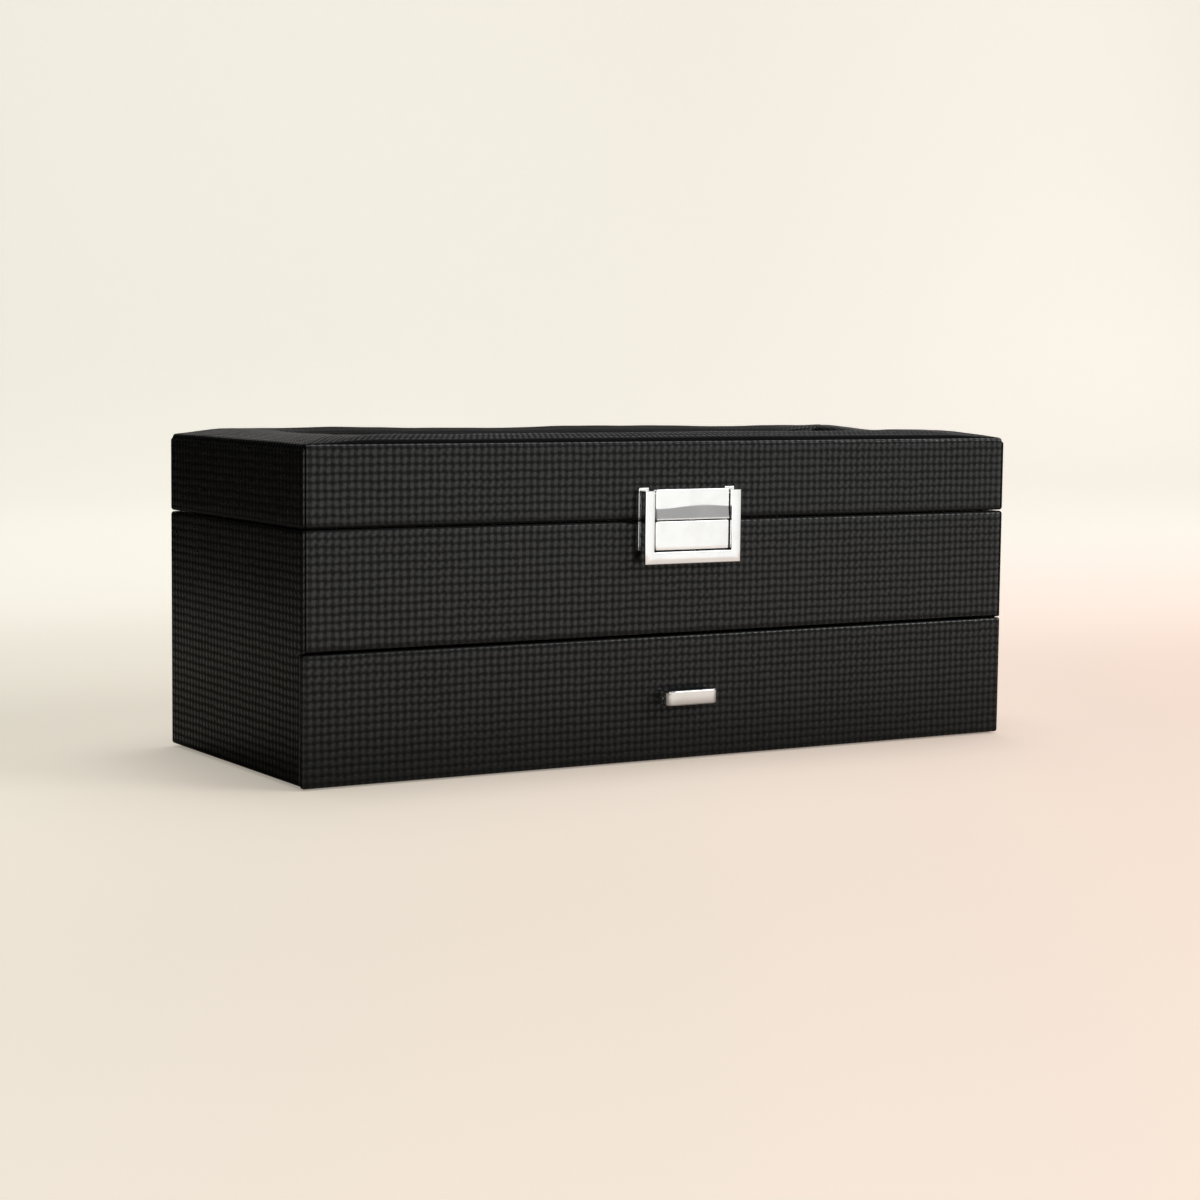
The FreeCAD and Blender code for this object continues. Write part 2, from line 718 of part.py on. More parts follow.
def make_lid(lid_blank):
    """The lid: four walls, the board with the glass, the padded rim and the velvet inside."""
    screws = keep(make_hinge_screws("lid", 1), "hinge_screws_lid")
    nails = latch_nails("latch_nails_lid", lid_bottom, hasp_top - hasp_axis_drop)
    low_y, high_y, low_z = front_wall - board, back_wall + board, seam_height
    for name, start, end in (
        ("lid_left_wall", -half_length, -inner_x),
        ("lid_right_wall", inner_x, half_length),
    ):
        region = block(f"{name}_region", (start, low_y, low_z), (end, high_y, rim_base))
        keep(common(f"{name}_board", lid_blank, region), name)
    region = block("lid_back_region", (-inner_x, inner_y, low_z), (inner_x, high_y, rim_base))
    wall = common("lid_back_board", lid_blank, region)
    keep(cut("lid_back_drilled", wall, screws), "lid_back_wall")
    region = block("lid_front_region", (-inner_x, low_y, low_z), (inner_x, -inner_y, rim_base))
    wall = common("lid_front_board", lid_blank, region)
    keep(cut("lid_front_drilled", wall, nails), "lid_front_wall")

    open_x, open_y = window_x + rim_skin, window_y + rim_skin
    pane_x, pane_y = open_x + glass_lap, open_y + glass_lap
    pane_top = frame_base + glass_sheet
    rebate_x, rebate_y = pane_x + glass_play, pane_y + glass_play
    slab = block("frame_slab", (-inner_x, -inner_y, frame_base), (inner_x, inner_y, rim_base))
    window = block("frame_window", (-open_x, -open_y, low_z), (open_x, open_y, lid_edge))
    rebate = block("frame_rebate", (-rebate_x, -rebate_y, low_z), (rebate_x, rebate_y, pane_top))
    keep(cut("frame_cut", slab, fuse("frame_openings", [window, rebate])), "lid_top_frame")
    pane = block("pane", (-pane_x, -pane_y, frame_base), (pane_x, pane_y, pane_top))
    keep(pane, "window_glass")
    make_padded_rim(lid_blank)

    retainer_base = frame_base - retainer
    slab = block("retainer_slab", (-inner_x, -inner_y, retainer_base), (inner_x, inner_y, frame_base))
    hole = block("retainer_hole", (-window_x, -window_y, low_z), (window_x, window_y, lid_edge))
    keep(cut("retainer_cut", slab, hole), "glass_retainer")
    velvet_base = lid_bottom + lining_reveal
    outer = block(
        "lid_velvet_outer", (-inner_x, -inner_y, velvet_base), (inner_x, inner_y, retainer_base)
    )
    velvet_x, velvet_y = inner_x - lining, inner_y - lining
    hollow = block(
        "lid_velvet_inner", (-velvet_x, -velvet_y, low_z), (velvet_x, velvet_y, lid_edge)
    )
    keep(cut("lid_velvet", outer, hollow), "lid_lining")
    return screws, nails


def latch_piece(name, plate_low, plate_high, block_low, block_high):
    """A latch plate with its raised block, rounded along the block's front edges."""
    body = new_body(name)
    block_left, block_right = latch_shift - block_width / 2, latch_shift + block_width / 2
    plate_front, face = front_wall - latch_plate, front_wall - block_front
    additive = "PartDesign::AdditiveBox"
    low, high = (latch_left, plate_front, plate_low), (latch_right, front_wall, plate_high)
    block(f"{name}_plate", low, high, additive, body)
    low, high = (block_left, face, block_low), (block_right, front_wall, block_high)
    raised = block(f"{name}_block", low, high, additive, body)

    def front_edge(box):
        return near(box.YMin, float(face)) and near(box.YMax, float(face))

    round_edges(body, f"{name}_edges", raised, block_radius, front_edge)
    return body


def make_latch(case_nails, lid_nails):
    """The latch: a catch on the case, a plate on the lid and the hasp that swings from it."""
    catch = latch_piece("catch", catch_bottom, case_top, catch_bottom, case_top)
    keep(cut("catch_drilled", catch, case_nails), "latch_catch_plate")

    plate = latch_piece("lid_plate", lid_bottom, hasp_top, lid_bottom, hasp_top + block_rise)
    for index, start in enumerate((latch_left, latch_right - tab_width)):
        block(
            f"tab_{index}",
            (start, front_wall - latch_plate, hasp_top - tab_rise),
            (start + tab_width, front_wall, hasp_top + tab_rise),
            "PartDesign::AdditiveBox",
            plate,
        )
    doc.recompute()
    along = Vector(1, 0, 0)
    axis_y, axis_z = front_wall - hasp_axis_depth, hasp_top - hasp_axis_drop
    inside_left, inside_right = latch_left + arm_width, latch_right - arm_width
    pin_start = (inside_left - hasp_pin_grip, axis_y, axis_z)
    pin_length = inside_right - inside_left + 2 * hasp_pin_grip
    pin = rod("pin", hasp_pin_radius, pin_start, pin_length, along)
    keep(pin, "hasp_pin")
    drilled = cut("lid_plate_drilled", plate, lid_nails)
    keep(cut("lid_plate_bored", drilled, pin), "latch_lid_plate")

    hasp = new_body("hasp")
    bar_top = hasp_bottom + bar_tall
    corners = [
        (front_wall - hasp_back, hasp_bottom),
        (front_wall - hasp_back, hasp_top),
        (front_wall - hasp_front, hasp_top),
        (front_wall - hasp_front, bar_top + bar_blend),
        (front_wall - bar_front, bar_top),
        (front_wall - bar_front, hasp_bottom),
    ]
    sketch = outline(hasp, "hasp_side", "YZ_Plane", corners)
    sketch.AttachmentOffset = Placement(Vector(0, 0, latch_shift), Rotation())
    sketch.setExpression("AttachmentOffset.Base.z", formula_of(latch_shift))
    pad(hasp, "hasp_solid", sketch, latch_width)
    cutter = "PartDesign::SubtractiveBox"
    low = (inside_left, front_wall - 2 * bar_front, bar_top)
    block("hasp_window", low, (inside_right, front_wall, hasp_top + board), cutter, hasp)
    low = (inside_left, front_wall - bar_back, hasp_bottom - board)
    block("hasp_relief", low, (inside_right, front_wall, hasp_top), cutter, hasp)
    rod(
        "hasp_bore",
        hasp_pin_radius + pin_clearance,
        (inside_left - hasp_pin_grip - pin_clearance, axis_y, axis_z),
        pin_length + 2 * pin_clearance,
        along,
        "PartDesign::SubtractiveCylinder",
        hasp,
    )
    keep(hasp, "latch_hasp")


def check_and_write():
    """Recomputes the model, stops on any failed object or bad solid, and writes each piece."""
    doc.recompute()
    for node in doc.Objects:
        if "Invalid" in node.State or "Error" in node.State:
            raise RuntimeError(f"{node.Name} failed: {node.State}")
    os.makedirs("parts", exist_ok=True)
    for node in parts:
        shape = node.Shape
        if shape.isNull() or not shape.isValid() or not shape.Solids:
            raise RuntimeError(f"{node.Label} has no valid solid")
        shape.exportStep(os.path.join("parts", f"{node.Label}.step"))
        print(f"{node.Label}: {len(shape.Solids)} solid(s), {shape.Volume / 1000:.2f} cm3")


def build():
    case_blank = make_case_blank()
    lid_blank = make_lid_blank()
    case_screws, case_nails = make_case(case_blank)
    make_tray()
    lid_screws, lid_nails = make_lid(lid_blank)
    make_latch(case_nails, lid_nails)
    for place, hinge in (("left", -1), ("right", 1)):
        make_hinge_leaf(f"{place}_hinge_case_leaf", hinge, -1, case_screws)
        make_hinge_leaf(f"{place}_hinge_lid_leaf", hinge, 1, lid_screws)
    make_hinge_pins()
    make_drawer()
    check_and_write()


build()
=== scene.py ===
"""Looks of a six-slot watch box: woven leatherette over boards, a padded glazed lid and a chrome latch.

Lengths are in metres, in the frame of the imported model: the origin is the middle of the face that
the box stands on, +X runs along the box, -Y is its front and +Z is up.
"""
import math

import bmesh
import bpy
import numpy as np
from mathutils import Matrix, Vector


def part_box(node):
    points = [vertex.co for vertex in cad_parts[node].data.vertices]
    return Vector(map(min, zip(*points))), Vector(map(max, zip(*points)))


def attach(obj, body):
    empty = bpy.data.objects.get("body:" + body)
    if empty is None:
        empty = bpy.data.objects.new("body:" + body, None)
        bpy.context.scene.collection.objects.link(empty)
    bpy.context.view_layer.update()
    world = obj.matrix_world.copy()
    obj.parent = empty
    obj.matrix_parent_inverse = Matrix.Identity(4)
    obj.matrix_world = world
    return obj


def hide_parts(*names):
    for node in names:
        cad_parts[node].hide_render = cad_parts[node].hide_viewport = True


MM = 0.001
WELD = 0.0002 * MM
BLACK = (0.0042, 0.0042, 0.0040, 1)
# Painted shade for the weave's pits and for creases in the leatherette
PIT_SHADE_BLACK = (0.0015, 0.0015, 0.0014, 1)
RUBBED_BLACK = (0.042, 0.041, 0.040, 1)
VELVET_GREY = (0.052, 0.050, 0.048, 1)
PILLOW_GREY = (0.095, 0.091, 0.086, 1)
PAPER_BLACK = (0.012, 0.012, 0.0115, 1)
FELT_BLACK, FELT_GREY = (0.012, 0.012, 0.012, 1), (0.03, 0.029, 0.028, 1)
CHROME_WHITE = (0.90, 0.90, 0.89, 1)
NICKEL_GREY = (0.56, 0.55, 0.53, 1)

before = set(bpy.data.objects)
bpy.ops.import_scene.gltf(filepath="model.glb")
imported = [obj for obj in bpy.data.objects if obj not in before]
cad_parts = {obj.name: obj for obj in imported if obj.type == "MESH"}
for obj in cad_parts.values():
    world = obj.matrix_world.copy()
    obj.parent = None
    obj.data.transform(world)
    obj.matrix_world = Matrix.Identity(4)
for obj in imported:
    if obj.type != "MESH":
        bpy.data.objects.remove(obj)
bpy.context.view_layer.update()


def corners_of(node):
    """A CAD node's lowest and highest corners as arrays."""
    low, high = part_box(node)
    return np.array(low), np.array(high)


# Materials


class Wiring:
    """Puts nodes into one tree and joins them; a plain value is written on the socket.

    A function that builds a material or a group calls its wiring w.
    """

    def __init__(self, tree):
        self.tree = tree

    def put(self, kind, inputs=None, **settings):
        node = self.tree.nodes.new(kind)
        for key, value in settings.items():
            setattr(node, key, value)
        for key, value in (inputs or {}).items():
            self.join(value, node.inputs[key])
        return node

    def join(self, value, socket):
        if isinstance(value, bpy.types.NodeSocket):
            self.tree.links.new(value, socket)
        else:
            socket.default_value = value

    def math(self, operation, *values, clamp=False):
        inputs = dict(enumerate(values))
        return self.put("ShaderNodeMath", inputs, operation=operation, use_clamp=clamp).outputs[0]

    def times(self, first, second):
        return self.math("MULTIPLY", first, second)

    def plus(self, first, second):
        return self.math("ADD", first, second)

    def minus(self, first, second, clamp=False):
        return self.math("SUBTRACT", first, second, clamp=clamp)

    def larger(self, first, second):
        return self.math("MAXIMUM", first, second)

    def times_plus(self, value, factor, offset, clamp=False):
        return self.math("MULTIPLY_ADD", value, factor, offset, clamp=clamp)

    def vector_math(self, operation, inputs):
        return self.put("ShaderNodeVectorMath", inputs, operation=operation).outputs[0]

    def ramp(self, value, low, high, to_low=0.0, to_high=1.0):
        """A smooth step from one value to another."""
        inputs = {"Value": value, "From Min": low, "From Max": high, "To Min": to_low, "To Max": to_high}
        node = self.put("ShaderNodeMapRange", inputs, interpolation_type="SMOOTHSTEP")
        return node.outputs["Result"]

    def blend(self, share, first, second):
        """A mix of two colours, which go into the sockets 6 and 7 of a Mix node."""
        node = self.put("ShaderNodeMix", data_type="RGBA")
        for key, value in ((0, share), (6, first), (7, second)):
            self.join(value, node.inputs[key])
        return node.outputs[2]

    def noise(self, place, scale, detail=2.0, roughness=0.5):
        inputs = {"Vector": place, "Scale": scale, "Detail": detail, "Roughness": roughness}
        return self.put("ShaderNodeTexNoise", inputs).outputs["Fac"]

    def split(self, vector):
        return self.put("ShaderNodeSeparateXYZ", {0: vector}).outputs

    def object_place(self):
        return self.put("ShaderNodeTexCoord").outputs["Object"]

    def group(self, shared, place, values=None):
        """One of the shared shader groups at a place, with this material's own values."""
        return self.put("ShaderNodeGroup", {"Position": place, **(values or {})}, node_tree=shared).outputs

    def bump(self, height, distance, strength=1.0, normal=None):
        inputs = {"Height": height, "Distance": distance, "Strength": strength}
        if normal is not None:
            inputs["Normal"] = normal
        return self.put("ShaderNodeBump", inputs).outputs["Normal"]


def emptied(owner):
    """Wiring for the node tree of a material or the world, with its default nodes taken out."""
    owner.use_nodes = True
    owner.node_tree.nodes.clear()
    return Wiring(owner.node_tree)


def node_group(name, numbers_in, numbers_out):
    """An empty shader group that takes a position and named numbers, and the wiring to fill it."""
    group = bpy.data.node_groups.new(name, "ShaderNodeTree")
    group.interface.new_socket("Position", in_out="INPUT", socket_type="NodeSocketVector")
    for socket, value in numbers_in:
        made = group.interface.new_socket(socket, in_out="INPUT", socket_type="NodeSocketFloat")
        made.default_value = value
    for socket in numbers_out:
        group.interface.new_socket(socket, in_out="OUTPUT", socket_type="NodeSocketFloat")
    w = Wiring(group)
    given, result = w.put("NodeGroupInput").outputs, w.put("NodeGroupOutput").inputs
    return group, w, given, result, given["Position"]


def make_woven_emboss():
    """Small woven emboss: rows of short upright strokes, each row on a low level ridge.

    With v = pi y / pitch and u = pi (x / pitch - lean sin(2 v) / 2), a stroke is a smooth step of |cos u|
    times 0.4 + 0.6 L, where L is a smooth step of |cos v|; the ridge under a row is 0.5 L, and the height
    is the smooth maximum of both. Noise makes every stroke lean and rise a little differently. Pits is 1
    where the height and a fine noise are low together.
    """
    numbers = (("Pitch", 0.0029), ("Wobble", 0.0002), ("Lean", 0.09))
    group, w, given, result, place = node_group("Woven emboss", numbers, ("Height", "Pits"))
    drift = w.put("ShaderNodeTexNoise", {"Vector": place, "Scale": 160.0, "Detail": 2.0}).outputs["Color"]
    centred = w.vector_math("SUBTRACT", {0: drift, 1: (0.5, 0.5, 0.5)})
    shift = w.vector_math("SCALE", {0: centred, "Scale": given["Wobble"]})
    moved = w.split(w.vector_math("ADD", {0: place, 1: shift}))
    rows = w.math("DIVIDE", moved["Y"], given["Pitch"])
    wave = w.math("SINE", w.times(rows, 2 * math.pi))
    lean = w.times(given["Lean"], w.ramp(w.noise(place, 22.0, 1.0), 0.35, 0.65, 0.2, 1.8))
    columns = w.times_plus(w.times(wave, lean), -0.5, w.math("DIVIDE", moved["X"], given["Pitch"]))
    across, along = (w.math("ABSOLUTE", w.math("COSINE", w.times(v, math.pi))) for v in (columns, rows))
    upright, level = w.ramp(across, 0.22, 1.0), w.ramp(along, 0.15, 1.0)
    strokes = w.times(upright, w.times_plus(level, 0.6, 0.4))
    height = w.math("SMOOTH_MAX", strokes, w.times(level, 0.5), 0.3)
    w.join(w.times(height, w.times_plus(w.noise(place, 380.0, 3.0, 0.65), 0.9, 0.55)), result["Height"])
    w.join(w.ramp(w.plus(w.noise(place, 700.0, 3.0, 0.7), height), 1.65, 0.6), result["Pits"])
    return group


def make_skin_grain():
    """Fine pebbled skin of the leatherette and its slow unevenness."""
    numbers = (("Grain scale", 3200.0), ("Patch scale", 45.0))
    group, w, given, result, place = node_group("Skin grain", numbers, ("Grain", "Patches"))
    cells = w.put("ShaderNodeTexVoronoi", {"Vector": place, "Scale": given["Grain scale"]})
    w.join(w.times_plus(w.noise(place, 5200.0, 2.0, 0.6), 0.6, cells.outputs["Distance"]), result["Grain"])
    w.join(w.noise(place, given["Patch scale"], 3.0, 0.55), result["Patches"])
    return group


def make_nap():
    """Velvet pile: brushed patches that lean one way or the other, with short fibres on top."""
    numbers = (("Fibre scale", 2600.0), ("Brush scale", 28.0))
    group, w, given, result, place = node_group("Velvet nap", numbers, ("Height", "Brushed"))
    w.join(w.noise(place, given["Fibre scale"], 3.0, 0.7), result["Height"])
    w.join(w.ramp(w.noise(place, given["Brush scale"], 3.0, 0.6), 0.35, 0.68), result["Brushed"])
    return group


def make_handling():
    """Marks of handling on metal: fine level hairlines and faint smears."""
    numbers = (("Hairlines", 900.0), ("Smears", 120.0))
    group, w, given, result, place = node_group("Handling marks", numbers, ("Hairline", "Smear"))
    stretch = w.put("ShaderNodeMapping", {"Vector": place, "Scale": (1.0, 1.0, 14.0)}).outputs[0]
    w.join(w.noise(stretch, given["Hairlines"], 3.0, 0.6), result["Hairline"])
    w.join(w.ramp(w.noise(place, given["Smears"], 4.0, 0.6), 0.42, 0.7), result["Smear"])
    return group


WOVEN, GRAIN = make_woven_emboss(), make_skin_grain()
NAP, HANDLING = make_nap(), make_handling()


def new_material(name, constants):
    """A material with its Principled BSDF joined to the output; constants are set on its sockets."""
    material = bpy.data.materials.new(name)
    w = emptied(material)
    shader = w.put("ShaderNodeBsdfPrincipled")
    w.put("ShaderNodeOutputMaterial", {"Surface": shader.outputs[0]})
    for socket, value in constants.items():
        shader.inputs[socket].default_value = value
    return material, w, shader.inputs


def toned(colour, factor):
    """A colour times a factor, opaque."""
    return tuple(part * factor for part in colour[:3]) + (1,)


def leatherette(name, relief=0.18, pitch=2.87, rough=0.27, gloss=0.8):
    """Black woven leatherette on a piece's own unrolled map; relief and pitch are in mm.

    It is flattened and rubbed where near_edge is 1, and matt and dark with painted shade in creases, where it
    is -1.
    """
    shine = {"Specular IOR Level": 0.22, "Specular Tint": (0.94, 0.98, 1.0, 1)}
    material, w, skin = new_material(name, {**shine, "Coat Roughness": rough, "Coat IOR": 1.5})
    place = w.put("ShaderNodeUVMap", uv_map="cover").outputs["UV"]
    marked = w.put("ShaderNodeAttribute", attribute_name="near_edge").outputs["Fac"]
    near_edge, crease_shade = w.larger(marked, 0.0), w.larger(w.times(marked, -1.0), 0.0)
    weave = w.group(WOVEN, place, {"Pitch": pitch * MM, "Wobble": 0.9 * MM})
    grain = w.group(GRAIN, place)
    pits, patches = weave["Pits"], grain["Patches"]
    rub = w.times(w.math("POWER", near_edge, 2.0), w.ramp(patches, 0.25, 0.6, 0.35, 1.0))
    # Painted shade: the colour falls to a deeper black in the weave's pits and in creases, where shade would
    # lie.
    colour = w.blend(w.larger(w.times(pits, 0.7), crease_shade), w.blend(rub, BLACK, RUBBED_BLACK), PIT_SHADE_BLACK)
    tone = w.times_plus(patches, 0.5, 0.72)
    shade = w.put("ShaderNodeHueSaturation", {"Value": tone, "Color": colour})
    w.join(shade.outputs[0], skin["Base Color"])
    worn = w.times_plus(patches, 0.16, rough - 0.08)
    worn = w.times_plus(w.larger(pits, crease_shade), 0.55, worn, clamp=True)
    w.join(w.times_plus(near_edge, -0.12, worn, clamp=True), skin["Roughness"])
    flattened = w.times(w.math("ABSOLUTE", marked), 0.8)
    relief_normal = w.bump(weave["Height"], w.times(w.minus(1.0, flattened), relief * MM))
    w.join(w.bump(grain["Grain"], 0.02 * MM, 0.5, relief_normal), skin["Normal"])
    # The coat is taken off in the pits and creases too, a painted shade on the shine.
    raised = w.minus(1.0, w.larger(w.times(pits, 0.86), crease_shade), clamp=True)
    w.join(w.times(raised, gloss), skin["Coat Weight"])
    return material


def velvet(name, colour, sheen=0.55):
    """Short pile velvet, lighter where it is brushed over."""
    pile = {"Roughness": 0.92, "Sheen Weight": sheen, "Sheen Roughness": 0.4, "Specular IOR Level": 0.2}
    material, w, cloth = new_material(name, pile)
    nap = w.group(NAP, w.object_place())
    w.join(w.blend(nap["Brushed"], colour, toned(colour, 1.55)), cloth["Base Color"])
    w.join(w.bump(nap["Height"], 0.22 * MM, 0.8), cloth["Normal"])
    return material


def plated(name, colour=CHROME_WHITE, rough=0.08):
    """Plated metal with hairlines and faint smears."""
    material, w, metal = new_material(name, {"Metallic": 1.0})
    marks = w.group(HANDLING, w.object_place())
    w.join(w.blend(marks["Smear"], colour, toned(colour, 0.96)), metal["Base Color"])
    w.join(w.times_plus(marks["Smear"], 0.05, rough), metal["Roughness"])
    w.join(w.bump(marks["Hairline"], 0.002 * MM, 0.25), metal["Normal"])
    return material


def covered_paper(name, colour):
    """Thin black paper that covers the boards inside, with a faint pressed grain."""
    material, w, paper = new_material(name, {})
    grain = w.group(GRAIN, w.object_place(), {"Grain scale": 1800.0, "Patch scale": 30.0})
    w.join(w.blend(grain["Patches"], colour, toned(colour, 1.7)), paper["Base Color"])
    w.join(w.times_plus(grain["Patches"], 0.2, 0.55), paper["Roughness"])
    w.join(w.bump(grain["Grain"], 0.05 * MM, 0.6), paper["Normal"])
    return material


def felt_cloth():
    """Pressed wool felt under the box."""
    material, w, cloth = new_material("base felt", {"Roughness": 0.97, "Sheen Weight": 0.3})
    place = w.object_place()
    clouds = w.ramp(w.noise(place, 60.0, 3.0, 0.6), 0.3, 0.7)
    w.join(w.blend(clouds, FELT_BLACK, FELT_GREY), cloth["Base Color"])
    w.join(w.bump(w.noise(place, 700.0, 5.0, 0.75), 0.35 * MM, 0.9), cloth["Normal"])
    return material


def window_pane():
    """Clear glass with a few specks of dust on it."""
    clear = {"Base Color": (0.97, 0.99, 0.98, 1), "Transmission Weight": 1.0, "IOR": 1.46}
    material, w, pane = new_material("window glass", clear)
    specks = w.ramp(w.noise(w.object_place(), 900.0, 2.0, 0.5), 0.68, 0.74)
    w.join(w.times_plus(specks, 0.25, 0.01), pane["Roughness"])
    return material


LEATHER = leatherette("woven leatherette")
LEATHER_PAD = leatherette("padded woven leatherette", relief=0.12, pitch=2.4, rough=0.38, gloss=0.6)
VELVET = velvet("grey velvet", VELVET_GREY)
PILLOW_VELVET = velvet("pillow velvet", PILLOW_GREY, 0.7)
BOARD_PAPER = covered_paper("board paper", PAPER_BLACK)
CHROME = plated("polished chrome")
NICKEL = plated("plated steel", NICKEL_GREY, 0.24)
FELT = felt_cloth()
GLASS = window_pane()


# Meshes


def add_object(name, data):
    """A new object in the scene, at the origin."""
    made = bpy.data.objects.new(name, data)
    bpy.context.scene.collection.objects.link(made)
    return made


def add_piece(name, mesh, body, material, node=None):
    """An object that rides on a body, and stands for a CAD node where one is named."""
    mesh.materials.append(material)
    piece = add_object(name, mesh)
    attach(piece, body)
    if node:
        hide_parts(node)
    return piece


def face_outward(mesh):
    """Recalculates the normals of a closed mesh so that they point out."""
    work = bmesh.new()
    work.from_mesh(mesh)
    bmesh.ops.recalc_face_normals(work, faces=work.faces)
    work.to_mesh(mesh)
    work.free()
    mesh.update()


def grid_faces(rows, columns, wrap_rows=False, wrap_columns=False, start=0):
    """Quads of a grid of points; a wrapped direction joins its last line to its first."""
    row = np.arange(rows if wrap_rows else rows - 1)
    column = np.arange(columns if wrap_columns else columns - 1)
    row, column = np.meshgrid(row, column, indexing="ij")
    next_row, next_column = (row + 1) % rows, (column + 1) % columns
    corners = ((row, column), (next_row, column), (next_row, next_column), (row, next_column))
    return start + np.stack([r * columns + c for r, c in corners], -1).reshape(-1, 4)


def welded_mesh(name, points, faces, cover=None, near_edge=None):
    """A mesh whose equal points are merged; a quad with one merged side becomes a triangle.

    cover holds the unrolled map, one row per point before welding; near_edge is 1 on an edge and -1
    where painted shade lies in creases.
    """
    keys = np.round(points / WELD).astype(np.int64)
    _, first, back = np.unique(keys, axis=0, return_index=True, return_inverse=True)
    back = back.reshape(-1)
    welded = back[faces]
    merged = welded == np.roll(welded, -1, axis=1)
    whole = merged.sum(axis=1) == 0
    pinched = np.flatnonzero(merged.sum(axis=1) == 1)
    corner = (merged[pinched].argmax(axis=1)[:, None] + np.array([1, 2, 3])) % faces.shape[1]
    triangles = np.take_along_axis(faces[pinched], corner, axis=1)
    mesh = bpy.data.meshes.new(name)
    mesh.from_pydata(points[first].tolist(), [], welded[whole].tolist() + back[triangles].tolist())
    if cover is not None:
        layer = mesh.uv_layers.new(name="cover")
        used = np.concatenate([faces[whole].reshape(-1), triangles.reshape(-1)])
        layer.data.foreach_set("uv", cover[used].astype(np.float32).ravel())
    attribute = mesh.attributes.new("near_edge", "FLOAT", "POINT")
    values = np.zeros(len(points)) if near_edge is None else near_edge
    attribute.data.foreach_set("value", values[first].astype(np.float32))
    mesh.update()
    mesh.shade_smooth()
    return mesh


def carried_bar(name, rings, body, node):
    """A chrome bar through rings of points, each ring a row of the array, closed by a fan at each end."""
    rows, columns = rings.shape[:2]
    points = np.concatenate([rings.reshape(-1, 3), rings[[0, -1]].mean(axis=1)])
    ring = np.arange(columns)
    following, last, hub = (ring + 1) % columns, (rows - 1) * columns, rows * columns
    caps = np.concatenate([
        np.stack([following, ring, np.full(columns, hub)], -1),
        np.stack([last + ring, last + following, np.full(columns, hub + 1)], -1),
    ])
    mesh = bpy.data.meshes.new(name)
    mesh.from_pydata(points.tolist(), [], grid_faces(rows, columns, False, True).tolist() + caps.tolist())
    face_outward(mesh)
    mesh.shade_smooth()
    mesh.set_sharp_from_angle(angle=math.radians(38))
    add_piece(name, mesh, body, CHROME, node)


def grid_lines(low, high, radius, step, extra):
    """Places of grid lines from low to high: close together over the two rounded edges."""
    bend = radius * np.tan(np.linspace(0, math.pi / 4, 6))
    count = max(2, int(round((high - low - 2 * radius) / step)) + 1)
    middle = np.linspace(low + radius, high - radius, count)
    lines = np.concatenate([low + radius - bend[::-1], middle[1:-1], high - radius + bend, extra])
    return np.unique(np.round(lines, 8))


def rounded_block(low, high, radii, step, extra=((), (), ())):
    """The surface of a block with rounded edges: points, quads, map, inset from an edge and way out.

    A point Q of the plain block is drawn to C, the nearest point of the block shrunk by the radii R,
    and put at C + R (Q - C)/R / |(Q - C)/R|.
    """
    low, high, radii = (np.asarray(part, float) for part in (low, high, radii))
    parts, start = [], 0
    for axis in range(3):
        first, second = (axis + 1) % 3, (axis + 2) % 3
        lines = [grid_lines(low[k], high[k], radii[k], step, extra[k]) for k in (first, second)]
        a, b = np.meshgrid(*lines, indexing="ij")
        gaps = np.min([a - low[first], high[first] - a, b - low[second], high[second] - b], axis=0)
        for side in (0, 1):
            flat = np.empty(a.shape + (3,))
            flat[..., axis] = high[axis] if side else low[axis]
            flat[..., first], flat[..., second] = a, b
            core = np.clip(flat, low + radii, high - radii)
            away = (flat - core) / radii
            away /= np.linalg.norm(away, axis=-1, keepdims=True)
            quads = grid_faces(*a.shape, start=start)
            cover = (flat - low)[..., [k for k in range(3) if k != axis]]
            outward = np.zeros(a.shape + (3,))
            outward[..., axis] = 1 if side else -1
            parts.append((
                (core + radii * away).reshape(-1, 3), quads if side else quads[:, ::-1],
                cover.reshape(-1, 2), gaps.reshape(-1), outward.reshape(-1, 3),
            ))
            start += a.size
    return [np.concatenate(part) for part in zip(*parts)]


def ripple(x, y, seed, length=0.045):
    """Slow unevenness of a glued cover: a sum of eight sine waves with seeded turns, from -1 to 1."""
    chance = np.random.default_rng(seed)
    total = np.zeros_like(x)
    for _ in range(8):
        turn, phase = chance.uniform(0, 2 * math.pi, 2)
        wave = length * chance.uniform(0.5, 1.8)
        total += np.sin(2 * math.pi * (x * math.cos(turn) + y * math.sin(turn)) / wave + phase)
    return total / 8


def soft_step(value, start, end):
    """Rises smoothly from 0 at start to 1 at end."""
    share = np.clip((value - start) / (end - start), 0, 1)
    return share * share * (3 - 2 * share)


def fading(distance, reach):
    """Falls from 1 at no distance towards 0, as exp(-(distance / reach)^2)."""
    return np.exp(-((distance / reach) ** 2))


# Covered boards

case_panel_low = corners_of("upper_front_panel")[0]
BOX_END = -corners_of("left_side_panel")[0][0]
FRONT = case_panel_low[1]
BACK = -FRONT
PANEL_FOOT = case_panel_low[2]
BOARD = 8 * MM
# Where the skin of a front or back board ends, and where its core ends
LAP_END, INNER_END = BOX_END - 1.25 * MM, BOX_END - BOARD
RECESS = 1.0 * MM
WALL_TOP = corners_of("lid_front_wall")[1][2]
LID_EDGE = WALL_TOP + 1.2 * MM
BOARD_EDGE = 1.25 * MM


